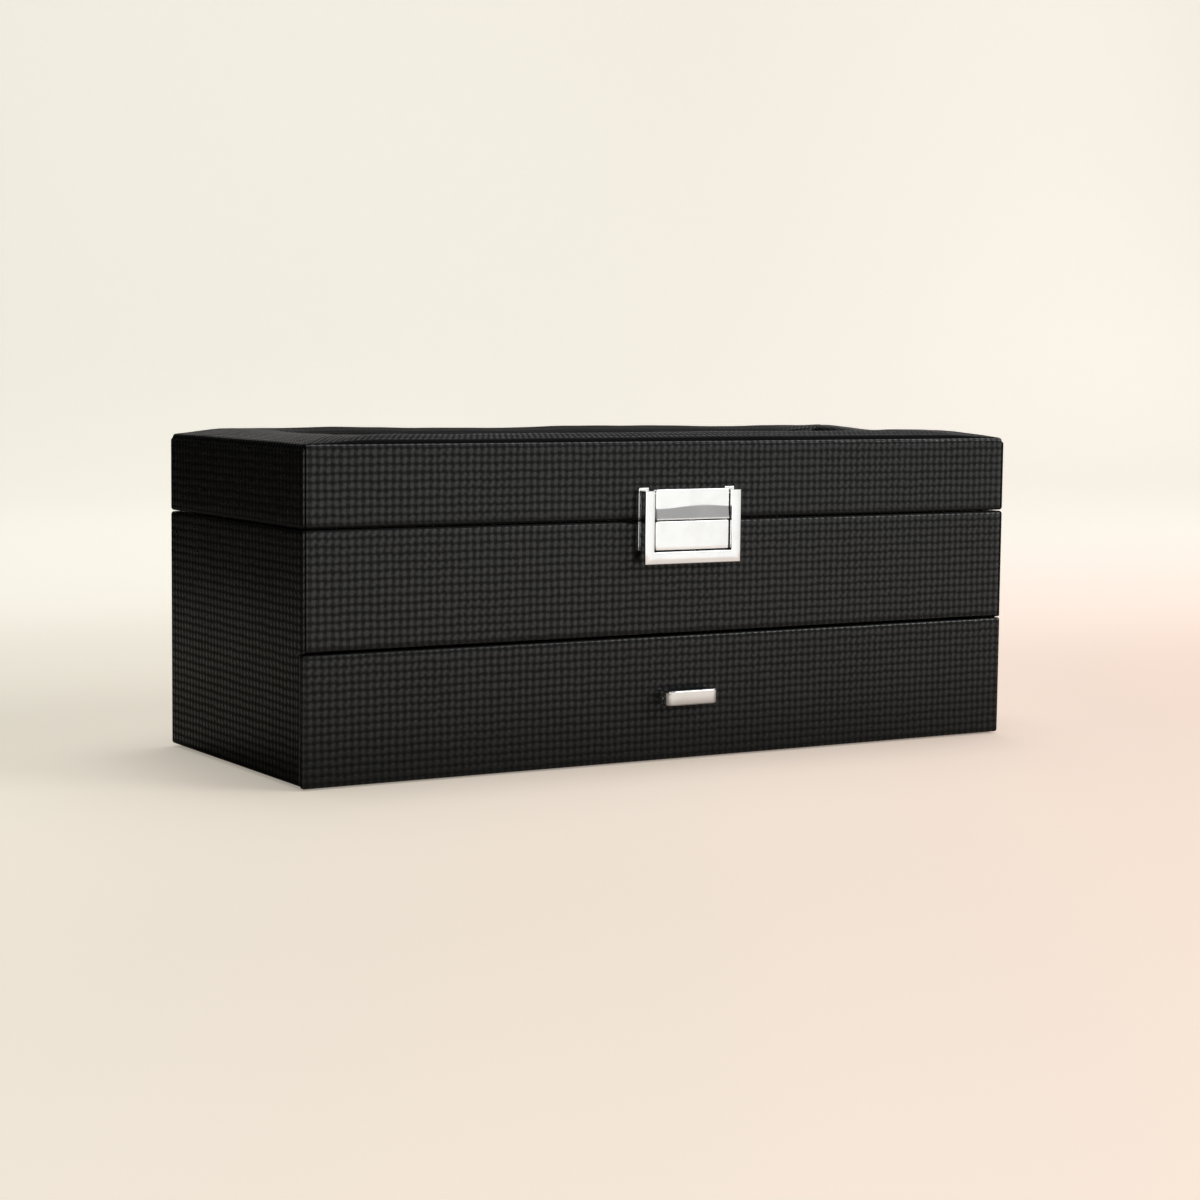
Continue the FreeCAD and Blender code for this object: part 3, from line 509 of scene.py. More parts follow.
def covered_board(name, low, high, radii, body, seed, node, reshape=None, extra=((), (), ())):
    """A board wrapped in woven leatherette whose broad faces swell and ripple slightly.

    The foot of a lid board takes painted shade: over 1.3 mm, where the cover turns under the edge, near_edge
    goes to -1.
    """
    swell, edge_reach, crease_reach, swell_reach = (v * MM for v in (0.10, 0.75, 1.3, 12))
    points, faces, cover, inset, outward = rounded_block(low, high, radii, 3.2 * MM, extra)
    wide = np.clip(inset / swell_reach, 0, 1) ** 0.5
    wave = ripple(points @ np.array([1.0, 0.6, 0.0]), points[:, 2], seed)
    points = points + outward * ((wave * 0.7 - 0.3) * swell * wide)[:, None]
    near_edge = fading(inset, edge_reach)
    if body == "lid":
        # Painted shade under the foot of a lid board.
        under = np.exp(-((np.maximum(points[:, 2] - low[2], 0) / crease_reach) ** 4))
        near_edge = near_edge * (1 - under) - under
    if reshape:
        points = reshape(points)
    mesh = welded_mesh(name, points, faces, cover, near_edge)
    add_piece(name, mesh, body, LEATHER, node)


def lapped(points):
    """Lets only the outer skin of a front or back board run over the ends of the side boards."""
    moved = points.copy()
    deep = soft_step(BACK - np.abs(points[:, 1]), RECESS, RECESS + 0.2 * MM)
    limit = LAP_END + (INNER_END - LAP_END) * deep
    moved[:, 0] = np.clip(points[:, 0], -limit, limit)
    return moved


def recessed(points):
    """Sets a side board's front and back faces back where the skins of the neighbours lie on them."""
    moved = points.copy()
    inward = soft_step(BOX_END - np.abs(points[:, 0]), 0.85 * MM, 1.2 * MM)
    at_end = soft_step(np.abs(points[:, 1]), BACK - 2.5 * MM, BACK - 1.2 * MM)
    moved[:, 1] -= np.sign(points[:, 1]) * (RECESS + 0.15 * MM) * inward * at_end
    return moved


def stepped(points):
    """Recesses a case side and draws its front edge back by 3 mm where the drawer front lies."""
    moved, set_back, reach = recessed(points), 3.0 * MM, 6.5 * MM
    lower = 1 - soft_step(points[:, 2], PANEL_FOOT - 0.9 * MM, PANEL_FOOT - 0.1 * MM)
    ahead = np.clip(-points[:, 1] - (BACK - reach), 0, None)
    moved[:, 1] += lower * ahead * (set_back / reach)
    return moved


def lapped_board(name, body, seed, node, top=None):
    """A front or back board, whose skin reaches the rounding of the side boards."""
    low, high = corners_of(node)
    low[0], high[0], high[1] = -LAP_END, LAP_END, low[1] + BOARD
    if top:
        high[2] = top
    covered_board(name, low, high, (0.45 * MM, BOARD_EDGE, BOARD_EDGE), body, seed, node, lapped)


def make_covered_boards():
    """Every outer board of the case, the lid and the drawer as its own covered piece."""
    lapped_board("upper_front_cover", "case", 11, "upper_front_panel")
    lapped_board("back_cover", "case", 12, "back_panel")
    step_lines = PANEL_FOOT + np.linspace(-1.2, 0.6, 10) * MM
    edge_lines = np.append(FRONT + np.linspace(1.2, 7, 12) * MM, [BACK - 1.3 * MM, BACK - 1.9 * MM])
    side_radii = (1.2 * MM, BOARD_EDGE, BOARD_EDGE)
    extra = ((), edge_lines, step_lines)
    for side, seed in (("left", 13), ("right", 14)):
        node = f"{side}_side_panel"
        covered_board(f"{side}_side_cover", *corners_of(node), side_radii, "case", seed, node, stepped, extra)
        node = f"lid_{side}_wall"
        covered_board(f"lid_{side}_cover", *corners_of(node), side_radii, "lid", seed + 10, node, recessed)
    lapped_board("lid_front_cover", "lid", 31, "lid_front_wall", LID_EDGE)
    lapped_board("lid_back_cover", "lid", 32, "lid_back_wall")
    node = "drawer_front"
    covered_board("drawer_front_cover", *corners_of(node), (1.0 * MM,) * 3, "drawer", 33, node)


make_covered_boards()


# Padded rim

# Sections of the pad, in mm: insets from the outer edge and heights above the lid's edge.
STEEP_SECTION = (
    (0, 1.1, 1.6, 2.2, 3.2, 5, 7.5, 9.5, 11, 13, 17, 21, 23, 30),
    (-1.2, -1.1, 0.8, 1.3, 1.62, 2.1, 2.72, 3.05, 3.12, 3.0, 2.6, 2.25, 2.1, 1.7),
)
EASY_INSETS = (0, 1.1, 2, 4, 7.5, 11, 14, 18, 22, 30)
GENTLE_SECTION = EASY_INSETS, (-0.9, -0.3, 0.35, 0.9, 1.55, 2.1, 2.5, 2.75, 2.75, 2.6)
PINCHED_SECTION = EASY_INSETS, (-0.8, -0.3, 0.1, 0.6, 1.25, 1.85, 2.35, 2.65, 2.6, 2.4)


def crest_height(side, place):
    """Height in mm of the pad's crest above the lid's edge, by side and place along it from -1 to 1."""
    if side == "front":
        return 2.75 + 0.12 * np.sin(5.2 * place + 0.6) + 0.06 * np.sin(13 * place)
    if side == "back":
        swell = np.cos(7.5 * (place + 0.62)) * np.exp(-((place + 0.1) ** 2))
        return 2.05 + 0.32 * swell + 0.1 * np.sin(19 * place)
    if side == "right":
        return 2.45 - 1.0 * np.exp(-((place - 0.15) ** 2) / 0.12)
    return 2.5 - 0.35 * np.exp(-((place + 0.1) ** 2) / 0.2)


def drawn_profile(inset, section):
    """A section given by a few points in mm, rounded off by a running mean over 1.25 mm."""
    fine = np.linspace(0, 30, 601)
    window = np.ones(25) / 25
    smooth = np.convolve(np.pad(np.interp(fine, *section), 12, mode="edge"), window, mode="valid")
    return np.interp(inset, fine, smooth)


def rim_side(name, axis, sign, insets, half):
    """The pad's upper surface on one side of the lid: points, map along it and near_edge.

    At inset w from the outer edge the height is a drawn section: steep in front and behind, gentle at the
    sides, pinched at the mitres, and blended by the distance from the mitre. Past w = 23.2 mm the pad
    rolls over the window's edge and falls by 2.6 mm (1 - sqrt(1 - t^2.2)), for t from 0 to 1 over the
    roll. Within 3 mm of the lid's ends it widens by 1.2 mm and turns down over the side walls.
    """
    half_long, half_other = half[axis], half[1 - axis]
    start, roll_start, roll_end = insets[0], 23.2 * MM, insets[-1]
    even = np.linspace(-1, 1, (150 if axis == 0 else 66) + 1)[:-1]
    share = np.sin(even * math.pi / 2) * 0.35 + even * 0.65
    direction = 1 if name in ("front", "right") else -1
    s, w = np.meshgrid(share * direction, insets, indexing="ij")
    along = s * (half_long - w)
    from_mitre = (half_long - w) - np.abs(along)
    middle = soft_step(from_mitre, 0, 26 * MM)
    crest = 1 + (crest_height(name, along / half_long) / 2.8 - 1) * soft_step(from_mitre, 0, 30 * MM)
    open_section = drawn_profile(insets / MM, STEEP_SECTION if axis == 0 else GENTLE_SECTION)
    pinched = drawn_profile(insets / MM, PINCHED_SECTION)
    drawn = pinched + (open_section - pinched) * middle
    rise = np.where(drawn > 0, drawn * crest, drawn) * MM
    roll = np.clip((w - roll_start) / (roll_end - roll_start), 0, 1)
    fall = 1 - np.sqrt(np.clip(1 - roll**2.2, 0, 1))
    height = np.maximum(LID_EDGE + rise - 2.6 * MM * fall, WALL_TOP + 0.05 * MM)
    wrinkle = ripple(along, w, 71 + axis + sign, 0.02) * 0.10 * MM
    pucker = np.sin(along / (2.3 * MM)) * 0.05 * MM * fading(from_mitre, 9 * MM)
    height = height + (wrinkle + pucker) * soft_step(w, 2 * MM, 6 * MM) * (1 - roll)
    across = half_other - w
    x, y = (along, sign * across) if axis == 0 else (sign * across, along)
    over_wall = np.clip(1 - (half[0] - start - np.abs(x)) / (3 * MM), 0, 1)
    x = x + np.sign(x) * 1.2 * MM * over_wall
    turned_down = soft_step(np.abs(x), half[0] - 1.0 * MM, half[0] + 0.05 * MM)
    height = height + (WALL_TOP - 0.9 * MM - height) * turned_down
    # Painted shade: near_edge goes towards -1, dark and matt, at the foot of the front and back sides and in
    # a band on the back's inner slope.
    foot_shade = {"front": 1.0, "back": 0.6}.get(name, 0.0)
    shaded_crease = (1 - soft_step(w, 2.1 * MM, 3.6 * MM)) * foot_shade
    if name == "back":
        shaded_crease = np.maximum(shaded_crease, 0.8 * soft_step(w, 9 * MM, 14 * MM) * middle)
    near_edge = 0.7 * fading(from_mitre, 1.1 * MM) * (1 - shaded_crease) - shaded_crease
    return np.stack([x, y, height], -1), along[:, :1] + 7.3 * MM * axis, near_edge


def make_padded_rim():
    """The pad round the window: its four sides, closed by an inner wall and an underside."""
    rim_low, rim_high = corners_of("padded_rim")
    skin = 1 * MM
    insets = np.concatenate([
        np.linspace(1.15, 3.2, 14), np.linspace(3.6, 8, 9), np.linspace(9, 22, 12), np.linspace(22.8, 28, 14),
    ]) * MM
    sides = (("front", 0, -1), ("right", 1, 1), ("back", 0, 1), ("left", 1, -1))
    parts = zip(*(rim_side(*side, insets, rim_high) for side in sides))
    top, maps, edges = (np.concatenate(part) for part in parts)
    around = len(top)
    inner = top[:, -1:, :].copy()
    drop = np.linspace(0, 1, 6)[1:][None, :, None]
    wall = inner + np.array([0, 0, 1.0]) * (rim_low[2] - inner[..., 2:]) * drop
    start_ring = top[:, :1, :].copy()
    start_ring[..., 2] = np.minimum(WALL_TOP, start_ring[..., 2] - 0.05 * MM)
    direction = start_ring[..., :2] - inner[..., :2]
    direction /= np.linalg.norm(direction, axis=-1, keepdims=True)
    ring_low = wall[:, -1:, :].copy()
    ring_low[..., :2] += direction * skin
    ring_high = ring_low.copy()
    ring_high[..., 2] = WALL_TOP
    loop = np.concatenate([start_ring, top, wall, ring_low, ring_high], axis=1)
    columns = loop.shape[1]
    steps = np.linalg.norm(np.diff(loop, axis=1), axis=-1)
    across = np.concatenate([np.zeros((around, 1)), np.cumsum(steps, axis=1)], axis=1)
    cover = np.stack([np.repeat(maps, columns, axis=1), across], -1)
    near_edge = np.zeros(loop.shape[:2])
    near_edge[:, 1:1 + len(insets)] = np.clip(edges, -1, 1)
    near_edge[:, 0] = near_edge[:, 1]
    name, faces = "padded_rim_cover", grid_faces(around, columns, True, True)
    mesh = welded_mesh(name, loop.reshape(-1, 3), faces, cover.reshape(-1, 2), near_edge.reshape(-1))
    face_outward(mesh)
    pad = add_piece(name, mesh, "lid", LEATHER_PAD, "padded_rim")


make_padded_rim()


# Chrome


def rounded_outline(half_wide, half_deep, radius, turns=5):
    """A rounded rectangle as (across, deep) pairs, or one for each of an array of half widths."""
    turn = np.linspace(0, math.pi / 2, turns) + np.arange(4)[:, None] * math.pi / 2
    side, end = np.array([1, -1, -1, 1])[:, None], np.array([1, 1, -1, -1])[:, None]
    wide = np.asarray(half_wide)[..., None, None]
    across = side * (wide - radius) + radius * np.cos(turn)
    deep = np.broadcast_to(end * (half_deep - radius) + radius * np.sin(turn), across.shape)
    return np.stack([across, deep], -1).reshape(*across.shape[:-2], -1, 2)


def domed_outline(half_wide, half_deep, radius, crown):
    """A rounded rectangle whose front, its low side, is domed: eight points on a parabola."""
    outline = rounded_outline(half_wide, half_deep, radius)
    flat = half_wide - radius
    front = np.linspace(-flat, flat, 10)[1:-1]
    bulge = np.stack([front, -half_deep - crown * (1 - (front / flat) ** 2)], -1)
    return np.concatenate([outline[:15], bulge, outline[15:]])


def chrome_block(name, low, high, radius, body, node=None, reshape=None, step=1.5 * MM):
    """A chrome block with rounded edges."""
    points, faces = rounded_block(low, high, (radius,) * 3, step)[:2]
    mesh = welded_mesh(name, reshape(points) if reshape else points, faces)
    add_piece(name, mesh, body, CHROME, node)


def make_hasp():
    """The hasp: a rounded section with a slightly domed front, carried down, along and up a U."""
    low, high = corners_of("latch_hasp")
    arm, bar, radius, crown = 4.1 * MM, 4.6 * MM, 0.4 * MM, 0.09 * MM
    left, right, bar_z = low[0] + arm / 2, high[0] - arm / 2, low[2] + bar / 2
    leg = np.append(np.linspace(high[2], bar_z + bar / 2 + 0.3 * MM, 22), bar_z + bar / 2)
    cross = np.linspace(left + arm / 2 + 0.1 * MM, right - arm / 2 - 0.1 * MM, 30)
    level = np.zeros(len(leg))
    path = np.concatenate([
        np.stack([level + left, level, leg], -1), [[left, 0, bar_z]],
        np.stack([cross, cross * 0, cross * 0 + bar_z], -1), [[right, 0, bar_z]],
        np.stack([level + right, level, leg[::-1]], -1),
    ])
    outward = np.concatenate([
        np.tile((-1, 0, 0), (len(leg), 1)), [(-1, 0, -bar / arm)], np.tile((0, 0, -1), (len(cross), 1)),
        [(1, 0, -bar / arm)], np.tile((1, 0, 0), (len(leg), 1)),
    ])
    front, arm_back, bar_back = low[1] + 0.1 * MM, FRONT - 2.2 * MM, FRONT - 4.7 * MM
    arm_section = domed_outline(arm / 2, (arm_back - front) / 2, radius, crown)
    bar_section = domed_outline(bar / 2, (bar_back - front) / 2, radius, crown)
    arm_section[:, 1] += (front + arm_back) / 2
    bar_section[:, 1] += (front + bar_back) / 2
    is_bar = (outward[:, 0] == 0)[:, None, None]
    section = np.where(is_bar, bar_section, arm_section)
    rings = path[:, None, :] + section[..., :1] * outward[:, None, :]
    rings[..., 1] += section[..., 1]
    carried_bar("hasp_polished", rings, "hasp", "latch_hasp")


def make_latch_plates():
    """The lid plate and the catch plate with their raised blocks, and the two tabs that hold the pin."""
    hasp_low, hasp_high = corners_of("latch_hasp")
    catch_low, catch_high = corners_of("latch_catch_plate")
    lid_low, lid_high = corners_of("latch_lid_plate")
    pin_front = corners_of("hasp_pin")[0][1]
    middle, plate_top = (hasp_low[0] + hasp_high[0]) / 2, hasp_high[2]
    block_left, block_right = middle - 15.5 * MM, middle + 16.35 * MM
    plate_face, face, block_top = FRONT - 0.9 * MM, catch_low[1], plate_top + 0.6 * MM
    set_back, tab = min(0.35 * MM, pin_front - 0.2 * MM - face), 4.3 * MM

    def scooped(points):
        """Sets the upper block's face back; its lower half leans out from a soft, slightly wavy bend."""
        moved = points.copy()
        share = (points[:, 2] - lid_low[2]) / (block_top - lid_low[2])
        bend = 0.47 + 0.05 * np.sin((points[:, 0] - middle) / (6.5 * MM) + 0.8)
        below = np.clip(bend - share, 0, 1)
        lean = np.where(below < 0.06, below**2 / 0.12, below - 0.03)
        moved[:, 1] += (set_back - 1.55 * MM * lean) * (FRONT - points[:, 1]) / (FRONT - face)
        return moved

    chrome_block(
        "catch_plate_polished", (catch_low[0], plate_face, catch_low[2]),
        (catch_high[0], FRONT, catch_high[2]), 0.22 * MM, "case", "latch_catch_plate",
    )
    chrome_block(
        "catch_block_polished", (block_left, face, catch_low[2]), (block_right, FRONT, catch_high[2]),
        0.35 * MM, "case",
    )
    chrome_block(
        "lid_plate_polished", (lid_low[0], plate_face, lid_low[2]), (lid_high[0], FRONT, plate_top),
        0.22 * MM, "lid", "latch_lid_plate",
    )
    chrome_block(
        "lid_block_polished", (block_left, face, lid_low[2]), (block_right, FRONT, block_top), 0.35 * MM,
        "lid", reshape=scooped, step=0.7 * MM,
    )
    for side, start in (("left", lid_low[0]), ("right", lid_high[0] - tab)):
        chrome_block(
            f"{side}_tab_polished", (start, plate_face - 0.05 * MM, plate_top - 1.1 * MM),
            (start + tab, FRONT, lid_high[2]), 0.25 * MM, "lid",
        )


def make_pull():
    """The drawer pull: a rounded bar carried out, along and back in, with tight rounded corners.

    Its legs are 3.2 mm wide and its front 2.2 mm thick, blended by how far the path faces along the box.
    """
    low, high = corners_of("drawer_pull")
    low[0], high[0] = low[0] + 0.8 * MM, high[0] + 1.3 * MM
    middle_z, half_tall = (low[2] + high[2]) / 2 + 0.1 * MM, (high[2] - low[2]) / 2 - 0.05 * MM
    bar, leg, corner = 2.2 * MM, 3.2 * MM, 1.7 * MM
    left, right = low[0] + leg / 2, high[0] - leg / 2
    face = low[1] + bar / 2
    turn = np.linspace(0, math.pi / 2, 9)
    legs = np.linspace(high[1], face + corner, 8)
    across = np.linspace(left + corner, right - corner, 24)[1:-1]
    short, long = corner * (1 - np.cos(turn)), corner * (1 - np.sin(turn))
    path = np.concatenate([
        np.stack([np.full(7, left), legs[:-1]], -1), np.stack([left + short, face + long], -1),
        np.stack([across, np.full(len(across), face)], -1), np.stack([right - long, face + short], -1),
        np.stack([np.full(7, right), legs[-2::-1]], -1),
    ])
    heading = np.gradient(path, axis=0)
    heading /= np.linalg.norm(heading, axis=1, keepdims=True)
    side = np.stack([-heading[:, 1], heading[:, 0]], -1)
    half_thick = (leg + (bar - leg) * np.abs(heading[:, 0])) / 2
    section = rounded_outline(half_thick, half_tall, 0.6 * MM, 9)
    rings = np.empty(section.shape[:2] + (3,))
    rings[..., :2] = path[:, None, :] + section[..., :1] * side[:, None, :]
    rings[..., 2] = middle_z + section[..., 1]
    carried_bar("pull_polished", rings, "drawer", "drawer_pull")


make_hasp()
make_latch_plates()
make_pull()


# Watch pillows


def evaluated_copy(piece):
    """The piece's mesh with its modifiers applied, as a new mesh."""
    return bpy.data.meshes.new_from_object(piece.evaluated_get(bpy.context.evaluated_depsgraph_get()))


def mesh_points(mesh):
    """A mesh's vertices as an array."""
    flat = np.empty(len(mesh.vertices) * 3)
    mesh.vertices.foreach_get("co", flat)
    return flat.reshape(-1, 3)


def stuff(piece, seams, cap, frames=20):
    """Blows a closed piece up as cloth: remeshed, held along its seams, and moved by at most the cap."""
    remesh = piece.modifiers.new("even net", "REMESH")
    remesh.mode, remesh.voxel_size, remesh.use_smooth_shade = "VOXEL", 3.0 * MM, True
    piece.data = evaluated_copy(piece)
    piece.modifiers.clear()
    start = mesh_points(piece.data)
    held = piece.vertex_groups.new(name="seams")
    held.add(np.flatnonzero(seams(start)).tolist(), 1.0, "REPLACE")
    cloth = piece.modifiers.new("stuffing", "CLOTH")
    fabric = cloth.settings
    fabric.quality, fabric.mass, fabric.air_damping = 6, 0.15, 2.0
    fabric.tension_stiffness = fabric.compression_stiffness = fabric.shear_stiffness = 12
    fabric.bending_stiffness = 0.15
    fabric.use_pressure, fabric.uniform_pressure_force = True, 4
    fabric.vertex_group_mass = "seams"
    fabric.effector_weights.gravity = 0
    cloth.point_cache.frame_start, cloth.point_cache.frame_end = 1, frames
    for number in range(1, frames + 1):
        bpy.context.scene.frame_set(number)
    moved = mesh_points(evaluated_copy(piece)) - start
    bpy.context.scene.frame_set(1)
    piece.modifiers.clear()
    piece.vertex_groups.clear()
    length = np.linalg.norm(moved, axis=1, keepdims=True)
    start = start + moved * np.minimum(1, cap / np.maximum(length, 1e-9))
    return start


def signed_power(value, power):
    """|value|^power with the value's own sign."""
    return np.sign(value) * np.abs(value) ** power


def make_pillow(index, seed):
    """A stuffed velvet pillow, sewn round both ends, blown up as cloth between its seams.

    It starts as a superellipse in side view, scaled by (1 - |t|^5)^0.34 towards the ends for a share t
    from -1 to 1 across the slot. The seams run at |t| = 0.74: there it is drawn in by up to 0.8 mm, and
    gathers of two sine waves round the pillow fade out within a few millimetres.
    """
    node, seam_share = f"watch_pillow_{index}", 0.74
    low, high = corners_of(node)
    middle, half = (low + high) / 2, (high - low) / 2
    across = np.sin(np.linspace(-math.pi / 2, math.pi / 2, 41))
    turn = np.linspace(0, 2 * math.pi, 97)[:-1]
    t, a = np.meshgrid(across, turn, indexing="ij")
    along, up = signed_power(np.cos(a), 0.62), signed_power(np.sin(a), 0.74)
    taper = np.clip(1 - np.abs(t) ** 5, 0, 1) ** 0.34
    x = middle[0] + half[0] * 0.95 * t
    y = middle[1] + half[1] * 0.95 * along * taper
    z = middle[2] + half[2] * 0.94 * up * taper
    uneven = ripple(y + seed, z + x, seed, 0.03) * 0.4 * MM * taper
    points = np.stack([x, y + uneven * along, z + uneven * up], -1).reshape(-1, 3)
    name = f"pillow_{index}_stuffed"
    mesh = welded_mesh(name, points, grid_faces(41, 96, False, True))
    face_outward(mesh)
    piece = add_piece(name, mesh, "case", PILLOW_VELVET)

    def from_seam(place):
        return np.abs(np.abs(place[:, 0] - middle[0]) - seam_share * half[0])

    stuffed = stuff(piece, lambda place: from_seam(place) < 1.6 * MM, 2.4 * MM)
    piece.data.vertices.foreach_set("co", stuffed.ravel())
    finer = piece.modifiers.new("finer", "SUBSURF")
    finer.levels = finer.render_levels = 2
    piece.data = evaluated_copy(piece)
    piece.modifiers.clear()
    fine = mesh_points(piece.data)
    away = from_seam(fine)
    radial = fine - middle
    radial[:, 0] = 0
    reach = np.linalg.norm(radial, axis=1, keepdims=True)
    groove = fading(away, 0.8 * MM) * (reach[:, 0] > 6 * MM)
    fine -= radial / np.maximum(reach, 1e-6) * (groove * 0.8 * MM)[:, None]
    angle = np.arctan2(radial[:, 2], radial[:, 1])
    chance = np.random.default_rng(seed)
    folds = np.sin(26 * angle + chance.uniform(0, 6)) + 0.7 * np.sin(17 * angle + chance.uniform(0, 6))
    gathered = folds * 0.22 * MM * fading(away, 3.2 * MM)
    fine += radial / np.maximum(reach, 1e-6) * gathered[:, None]
    room = np.array([0.35, 1.5, 1.2]) * MM
    fine = np.clip(fine, low - 0.35 * MM, high + room)
    piece.data.vertices.foreach_set("co", fine.ravel())
    piece.data.update()
    piece.data.shade_smooth()
    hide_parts(node)


for number in range(1, 7):
    make_pillow(number, 200 + number)


# Finishes of the CAD pieces that stay


def finish_cad_nodes():
    """Gives each CAD piece that stays its own finish."""
    dividers = [f"slot_divider_{number}" for number in range(1, 6)]
    leaves = [f"{side}_hinge_{part}_leaf" for side in ("left", "right") for part in ("case", "lid")]
    finishes = (
        (VELVET, ["tray_lining", "drawer_lining", "lid_lining", "glass_retainer", *dividers]),
        (BOARD_PAPER, [
            "lid_top_frame", "bottom_board", "tray_floor", "drawer_inner_front", "drawer_left_side",
            "drawer_right_side", "drawer_back", "drawer_floor",
        ]),
        (NICKEL, [
            "pull_screws", "hasp_pin", "hinge_pins", "hinge_screws_case", "hinge_screws_lid",
            "latch_nails_case", "latch_nails_lid", *leaves,
        ]),
        (GLASS, ["window_glass"]), (FELT, ["base_felt"]),
    )
    for material, names in finishes:
        for name in names:
            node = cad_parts[name]
            node.data.materials.clear()
            node.data.materials.append(material)


finish_cad_nodes()


# Camera, floor and light


def make_camera():
    """The photograph's view: 78 mm lens, turned 31.3 degrees from the front and 5.4 degrees down."""
    yaw, pitch, roll = (math.radians(v) for v in (31.276, 5.3956, 0.6108))
    place = (-0.52215, -0.86144, 0.14958)
    ahead = np.array([math.sin(yaw) * math.cos(pitch), math.cos(yaw) * math.cos(pitch), -math.sin(pitch)])
    level = np.array([math.cos(yaw), -math.sin(yaw), 0])
    above = np.cross(level, ahead)
    right = math.cos(roll) * level + math.sin(roll) * above
    up = -math.sin(roll) * level + math.cos(roll) * above
    data = bpy.data.cameras.new("photo view")
    data.lens, data.sensor_width, data.clip_start, data.clip_end = 78.19, 36, 0.05, 50
    camera = add_object("photo view", data)
    rows = [(right[k], up[k], -ahead[k], place[k]) for k in range(3)]
    camera.matrix_world = Matrix((*rows, (0, 0, 0, 1)))
    bpy.context.scene.camera = camera


def paper_strength(w, across, y, ahead, away):
    """How strongly the paper glows, a painted light: brighter in front and in two bands at the left.

    It is dimmer to the right of the box and behind it, far off, and behind the camera. Ambient occlusion
    darkens the glow within 50 mm of the box, a painted shadow that keeps a soft dark line at its foot.
    """
    beside = w.ramp(w.math("ABSOLUTE", w.minus(y, 0.02)), 0.32, 0.04)
    strength = w.plus(0.68, w.ramp(ahead, 0.18, 0.7, 0.0, 0.13))
    strength = w.minus(strength, w.times(beside, w.ramp(across, 0.05, 0.3, 0.0, 0.08)))
    behind_right = w.times(w.ramp(away, 0.2, 1.1), w.ramp(across, -0.3, 0.4, 0.0, 0.04))
    strength = w.minus(strength, behind_right)
    left_bands = w.plus(w.ramp(away, 0.12, -0.02), w.ramp(away, 0.35, 0.62))
    strength = w.plus(strength, w.times(w.ramp(across, -0.05, -0.28, 0.0, 0.075), left_bands))
    above, far = w.ramp(across, 0.1, 1.1, 0.62, 0.77), w.ramp(away, 1.1, 2.4)
    strength = w.plus(w.times(strength, w.minus(1.0, far)), w.times(above, far))
    # Painted shadow: the glow is dimmed within 50 mm of the box.
    open_sky = w.put("ShaderNodeAmbientOcclusion", {"Distance": 0.05}, samples=8).outputs["AO"]
    strength = w.times(strength, w.times_plus(open_sky, 0.5, 0.5))
    return w.times(strength, w.ramp(ahead, 0.8, 1.3, 1.0, 0.3))


def make_paper():
    """Pale paper that glows with its own colour, a painted light, to camera and glass, and in part to metal
    and gloss.
    """
    material = bpy.data.materials.new("studio paper")
    w = emptied(material)
    x, y, z = w.split(w.object_place())
    across, away, ahead = w.times_plus(y, -0.6, x), w.plus(y, z), w.times(y, -1.0)
    warmth = w.ramp(across, -0.4, 0.5)
    low = w.blend(warmth, (0.80, 0.75, 0.64, 1), (0.908, 0.725, 0.628, 1))
    high = w.blend(warmth, (0.87, 0.838, 0.745, 1), (0.908, 0.852, 0.772, 1))
    colour = w.blend(w.ramp(away, 0.0, 0.9), low, high)
    matt = w.put("ShaderNodeBsdfDiffuse", {"Color": colour})
    path = w.put("ShaderNodeLightPath").outputs
    tint = w.blend(path["Is Glossy Ray"], colour, (0.93, 0.905, 0.865, 1))
    strength = paper_strength(w, across, y, ahead, away)
    glow = w.put("ShaderNodeEmission", {"Color": tint, "Strength": strength})
    lifted = w.put("ShaderNodeAddShader", {0: matt.outputs[0], 1: glow.outputs[0]})
    behind = w.times(w.ramp(x, -0.05, 0.3), w.ramp(y, 0.1, 0.5))
    before = w.times(w.ramp(x, -0.35, -0.1), w.ramp(ahead, 0.1, 0.25, 0.0, 0.75))
    before = w.times(before, w.ramp(x, 0.15, 0.5, 1.0, 0.75))
    seen = w.larger(path["Is Camera Ray"], path["Is Transmission Ray"])
    seen = w.larger(seen, w.times(path["Is Glossy Ray"], w.larger(behind, before)))
    mixed = w.put("ShaderNodeMixShader", {0: seen, 1: matt.outputs[0], 2: lifted.outputs[0]})
    w.put("ShaderNodeOutputMaterial", {"Surface": mixed.outputs[0]})
    return material


def stage_sheet(name, points, faces, material):
    """A sheet of the studio, kept apart from the object."""
    mesh = bpy.data.meshes.new(name)
    mesh.from_pydata(points, [], faces)
    mesh.materials.append(material)
    sheet = add_object(name, mesh)
    return sheet


def make_floor():
    """The paper: flat under the box, then a quarter circle up into a backdrop."""
    front, rise_start, radius, top = -3.0, 1.6, 0.9, 1.0
    turn = np.linspace(0, math.pi / 2, 24)
    along = np.concatenate([[front, -1, 0], rise_start + radius * np.sin(turn), [rise_start + radius]])
    height = np.concatenate([[0, 0, 0], radius - radius * np.cos(turn), [top]])
    x, row = np.meshgrid(np.linspace(-3.2, 3.6, 9), np.arange(len(along)), indexing="ij")
    points = np.stack([x, along[row], height[row] - 0.05 * MM], -1).reshape(-1, 3)
    paper = stage_sheet("studio_paper", points.tolist(), grid_faces(*x.shape).tolist(), make_paper())
    paper.data.shade_smooth()


def soft_lamp(name, place, target, width, height, power):
    """A rectangular soft lamp that points at a target."""
    data = bpy.data.lights.new(name, "AREA")
    data.shape, data.size, data.size_y, data.energy = "RECTANGLE", width, height, power
    lamp = add_object(name, data)
    lamp.location = place
    lamp.rotation_euler = (Vector(target) - Vector(place)).to_track_quat("-Z", "Y").to_euler()


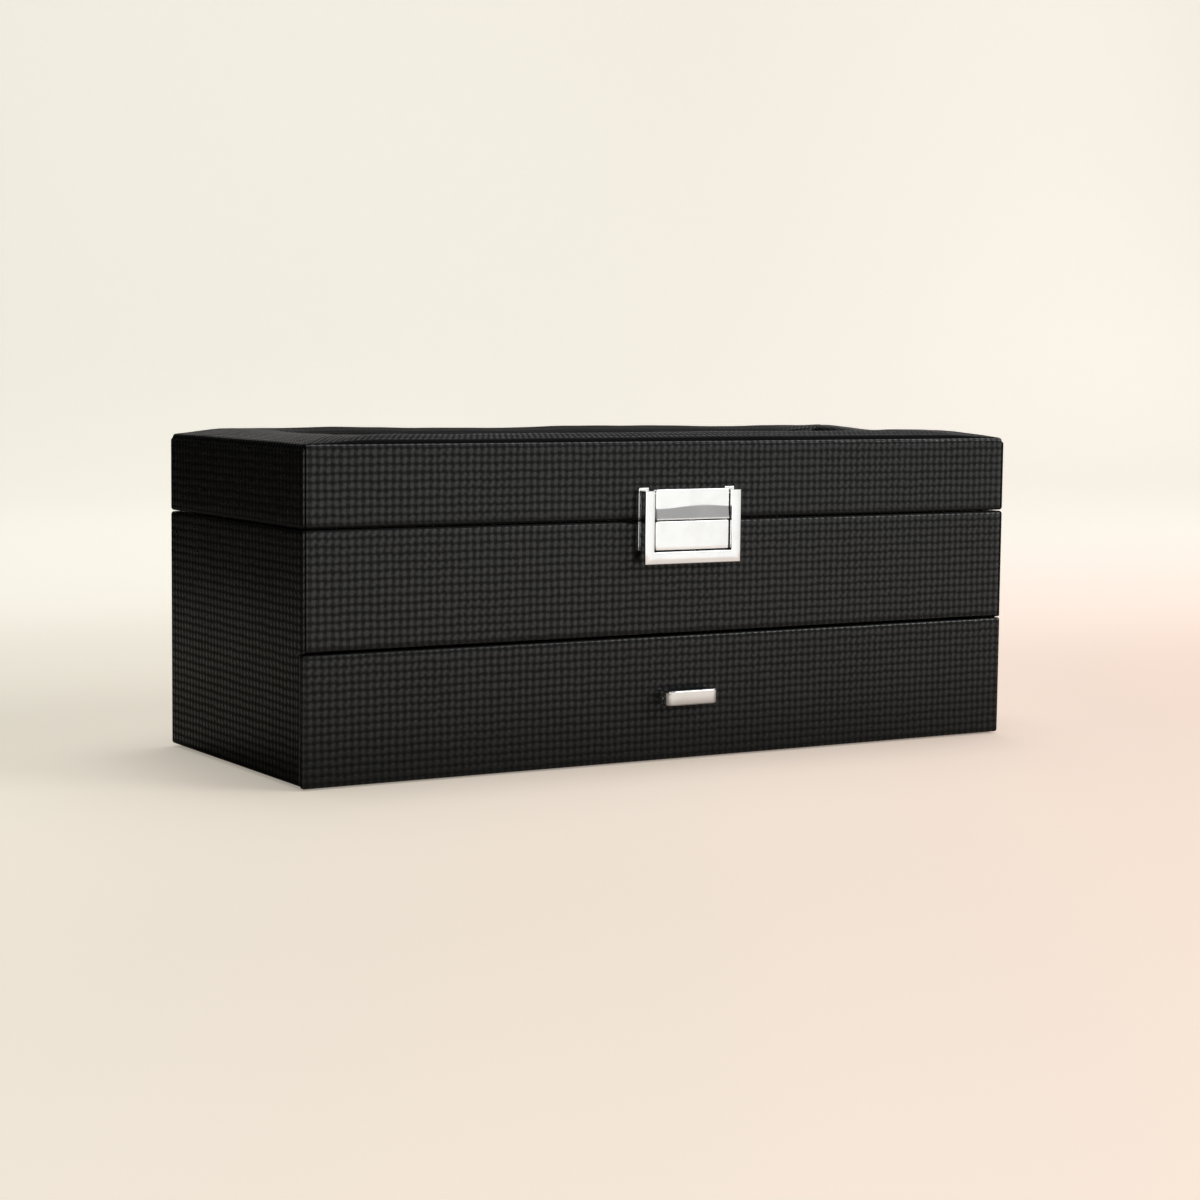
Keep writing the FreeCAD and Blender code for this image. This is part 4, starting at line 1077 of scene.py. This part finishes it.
def upright_card(name, start, end, low, high, colour, strength):
    """A card over two places on the floor: black at strength 0, else a glow that fades to the right."""
    material = bpy.data.materials.new(name)
    w = emptied(material)
    if strength:
        glow = w.ramp(w.split(w.object_place())["X"], 0.38, 0.66, strength, 0.78 * strength)
        surface = w.put("ShaderNodeEmission", {"Color": colour, "Strength": glow})
    else:
        surface = w.put("ShaderNodeBsdfDiffuse", {"Color": colour})
    w.put("ShaderNodeOutputMaterial", {"Surface": surface.outputs[0]})
    corners = [(*start, low), (*end, low), (*end, high), (*start, high)]
    card = stage_sheet(name, corners, [(0, 1, 2, 3)], material)
    card.visible_camera = False
    card.visible_shadow = strength > 0


def make_light():
    """Two soft lamps, at the right front and above; black flags darken the left, cards light the chrome."""
    soft_lamp("front right softbox", (1.6, -1.5, 1.1), (0, 0, 0.05), 1.2, 0.8, 17)
    soft_lamp("overhead", (1.2, 0.8, 2.1), (0.6, 0.7, 0), 2.4, 2.2, 17)
    floor, left, near, far = 1 * MM, (-0.46, 0.0), (-0.25, -0.92), (1.15, -0.42)
    black, white, grey = (0.006, 0.006, 0.006, 1), (1.0, 1.0, 0.985, 1), (1.0, 0.99, 0.98, 1)
    upright_card("black_flag", left, (-0.26, 1.6), floor, 1.3, black, 0)
    upright_card("side_flag", (-0.78, -0.6), left, floor, 1.3, black, 0)
    upright_card("left_card", (-1.1, -0.75), (-0.3, -0.97), floor, 0.17, white, 2.4)
    upright_card("white_card", near, far, floor, 0.17, white, 1.08)
    upright_card("grey_card", near, far, 0.171, 0.30, grey, 0.39)


def make_world():
    """A dim room that shows a pale colour to the camera and through glass."""
    world = bpy.data.worlds.new("studio room")
    w = emptied(world)
    path = w.put("ShaderNodeLightPath").outputs
    seen = w.larger(path["Is Camera Ray"], path["Is Transmission Ray"])
    room = w.put("ShaderNodeBackground", {"Color": (0.94, 0.97, 1.0, 1), "Strength": 0.07})
    backdrop = w.put("ShaderNodeBackground", {"Color": (0.88, 0.85, 0.76, 1), "Strength": 1.0})
    mixed = w.put("ShaderNodeMixShader", {0: seen, 1: room.outputs[0], 2: backdrop.outputs[0]})
    w.put("ShaderNodeOutputWorld", {"Surface": mixed.outputs[0]})
    bpy.context.scene.world = world


make_camera()
make_floor()
make_light()
make_world()
bpy.context.scene.view_settings.view_transform = "Standard"
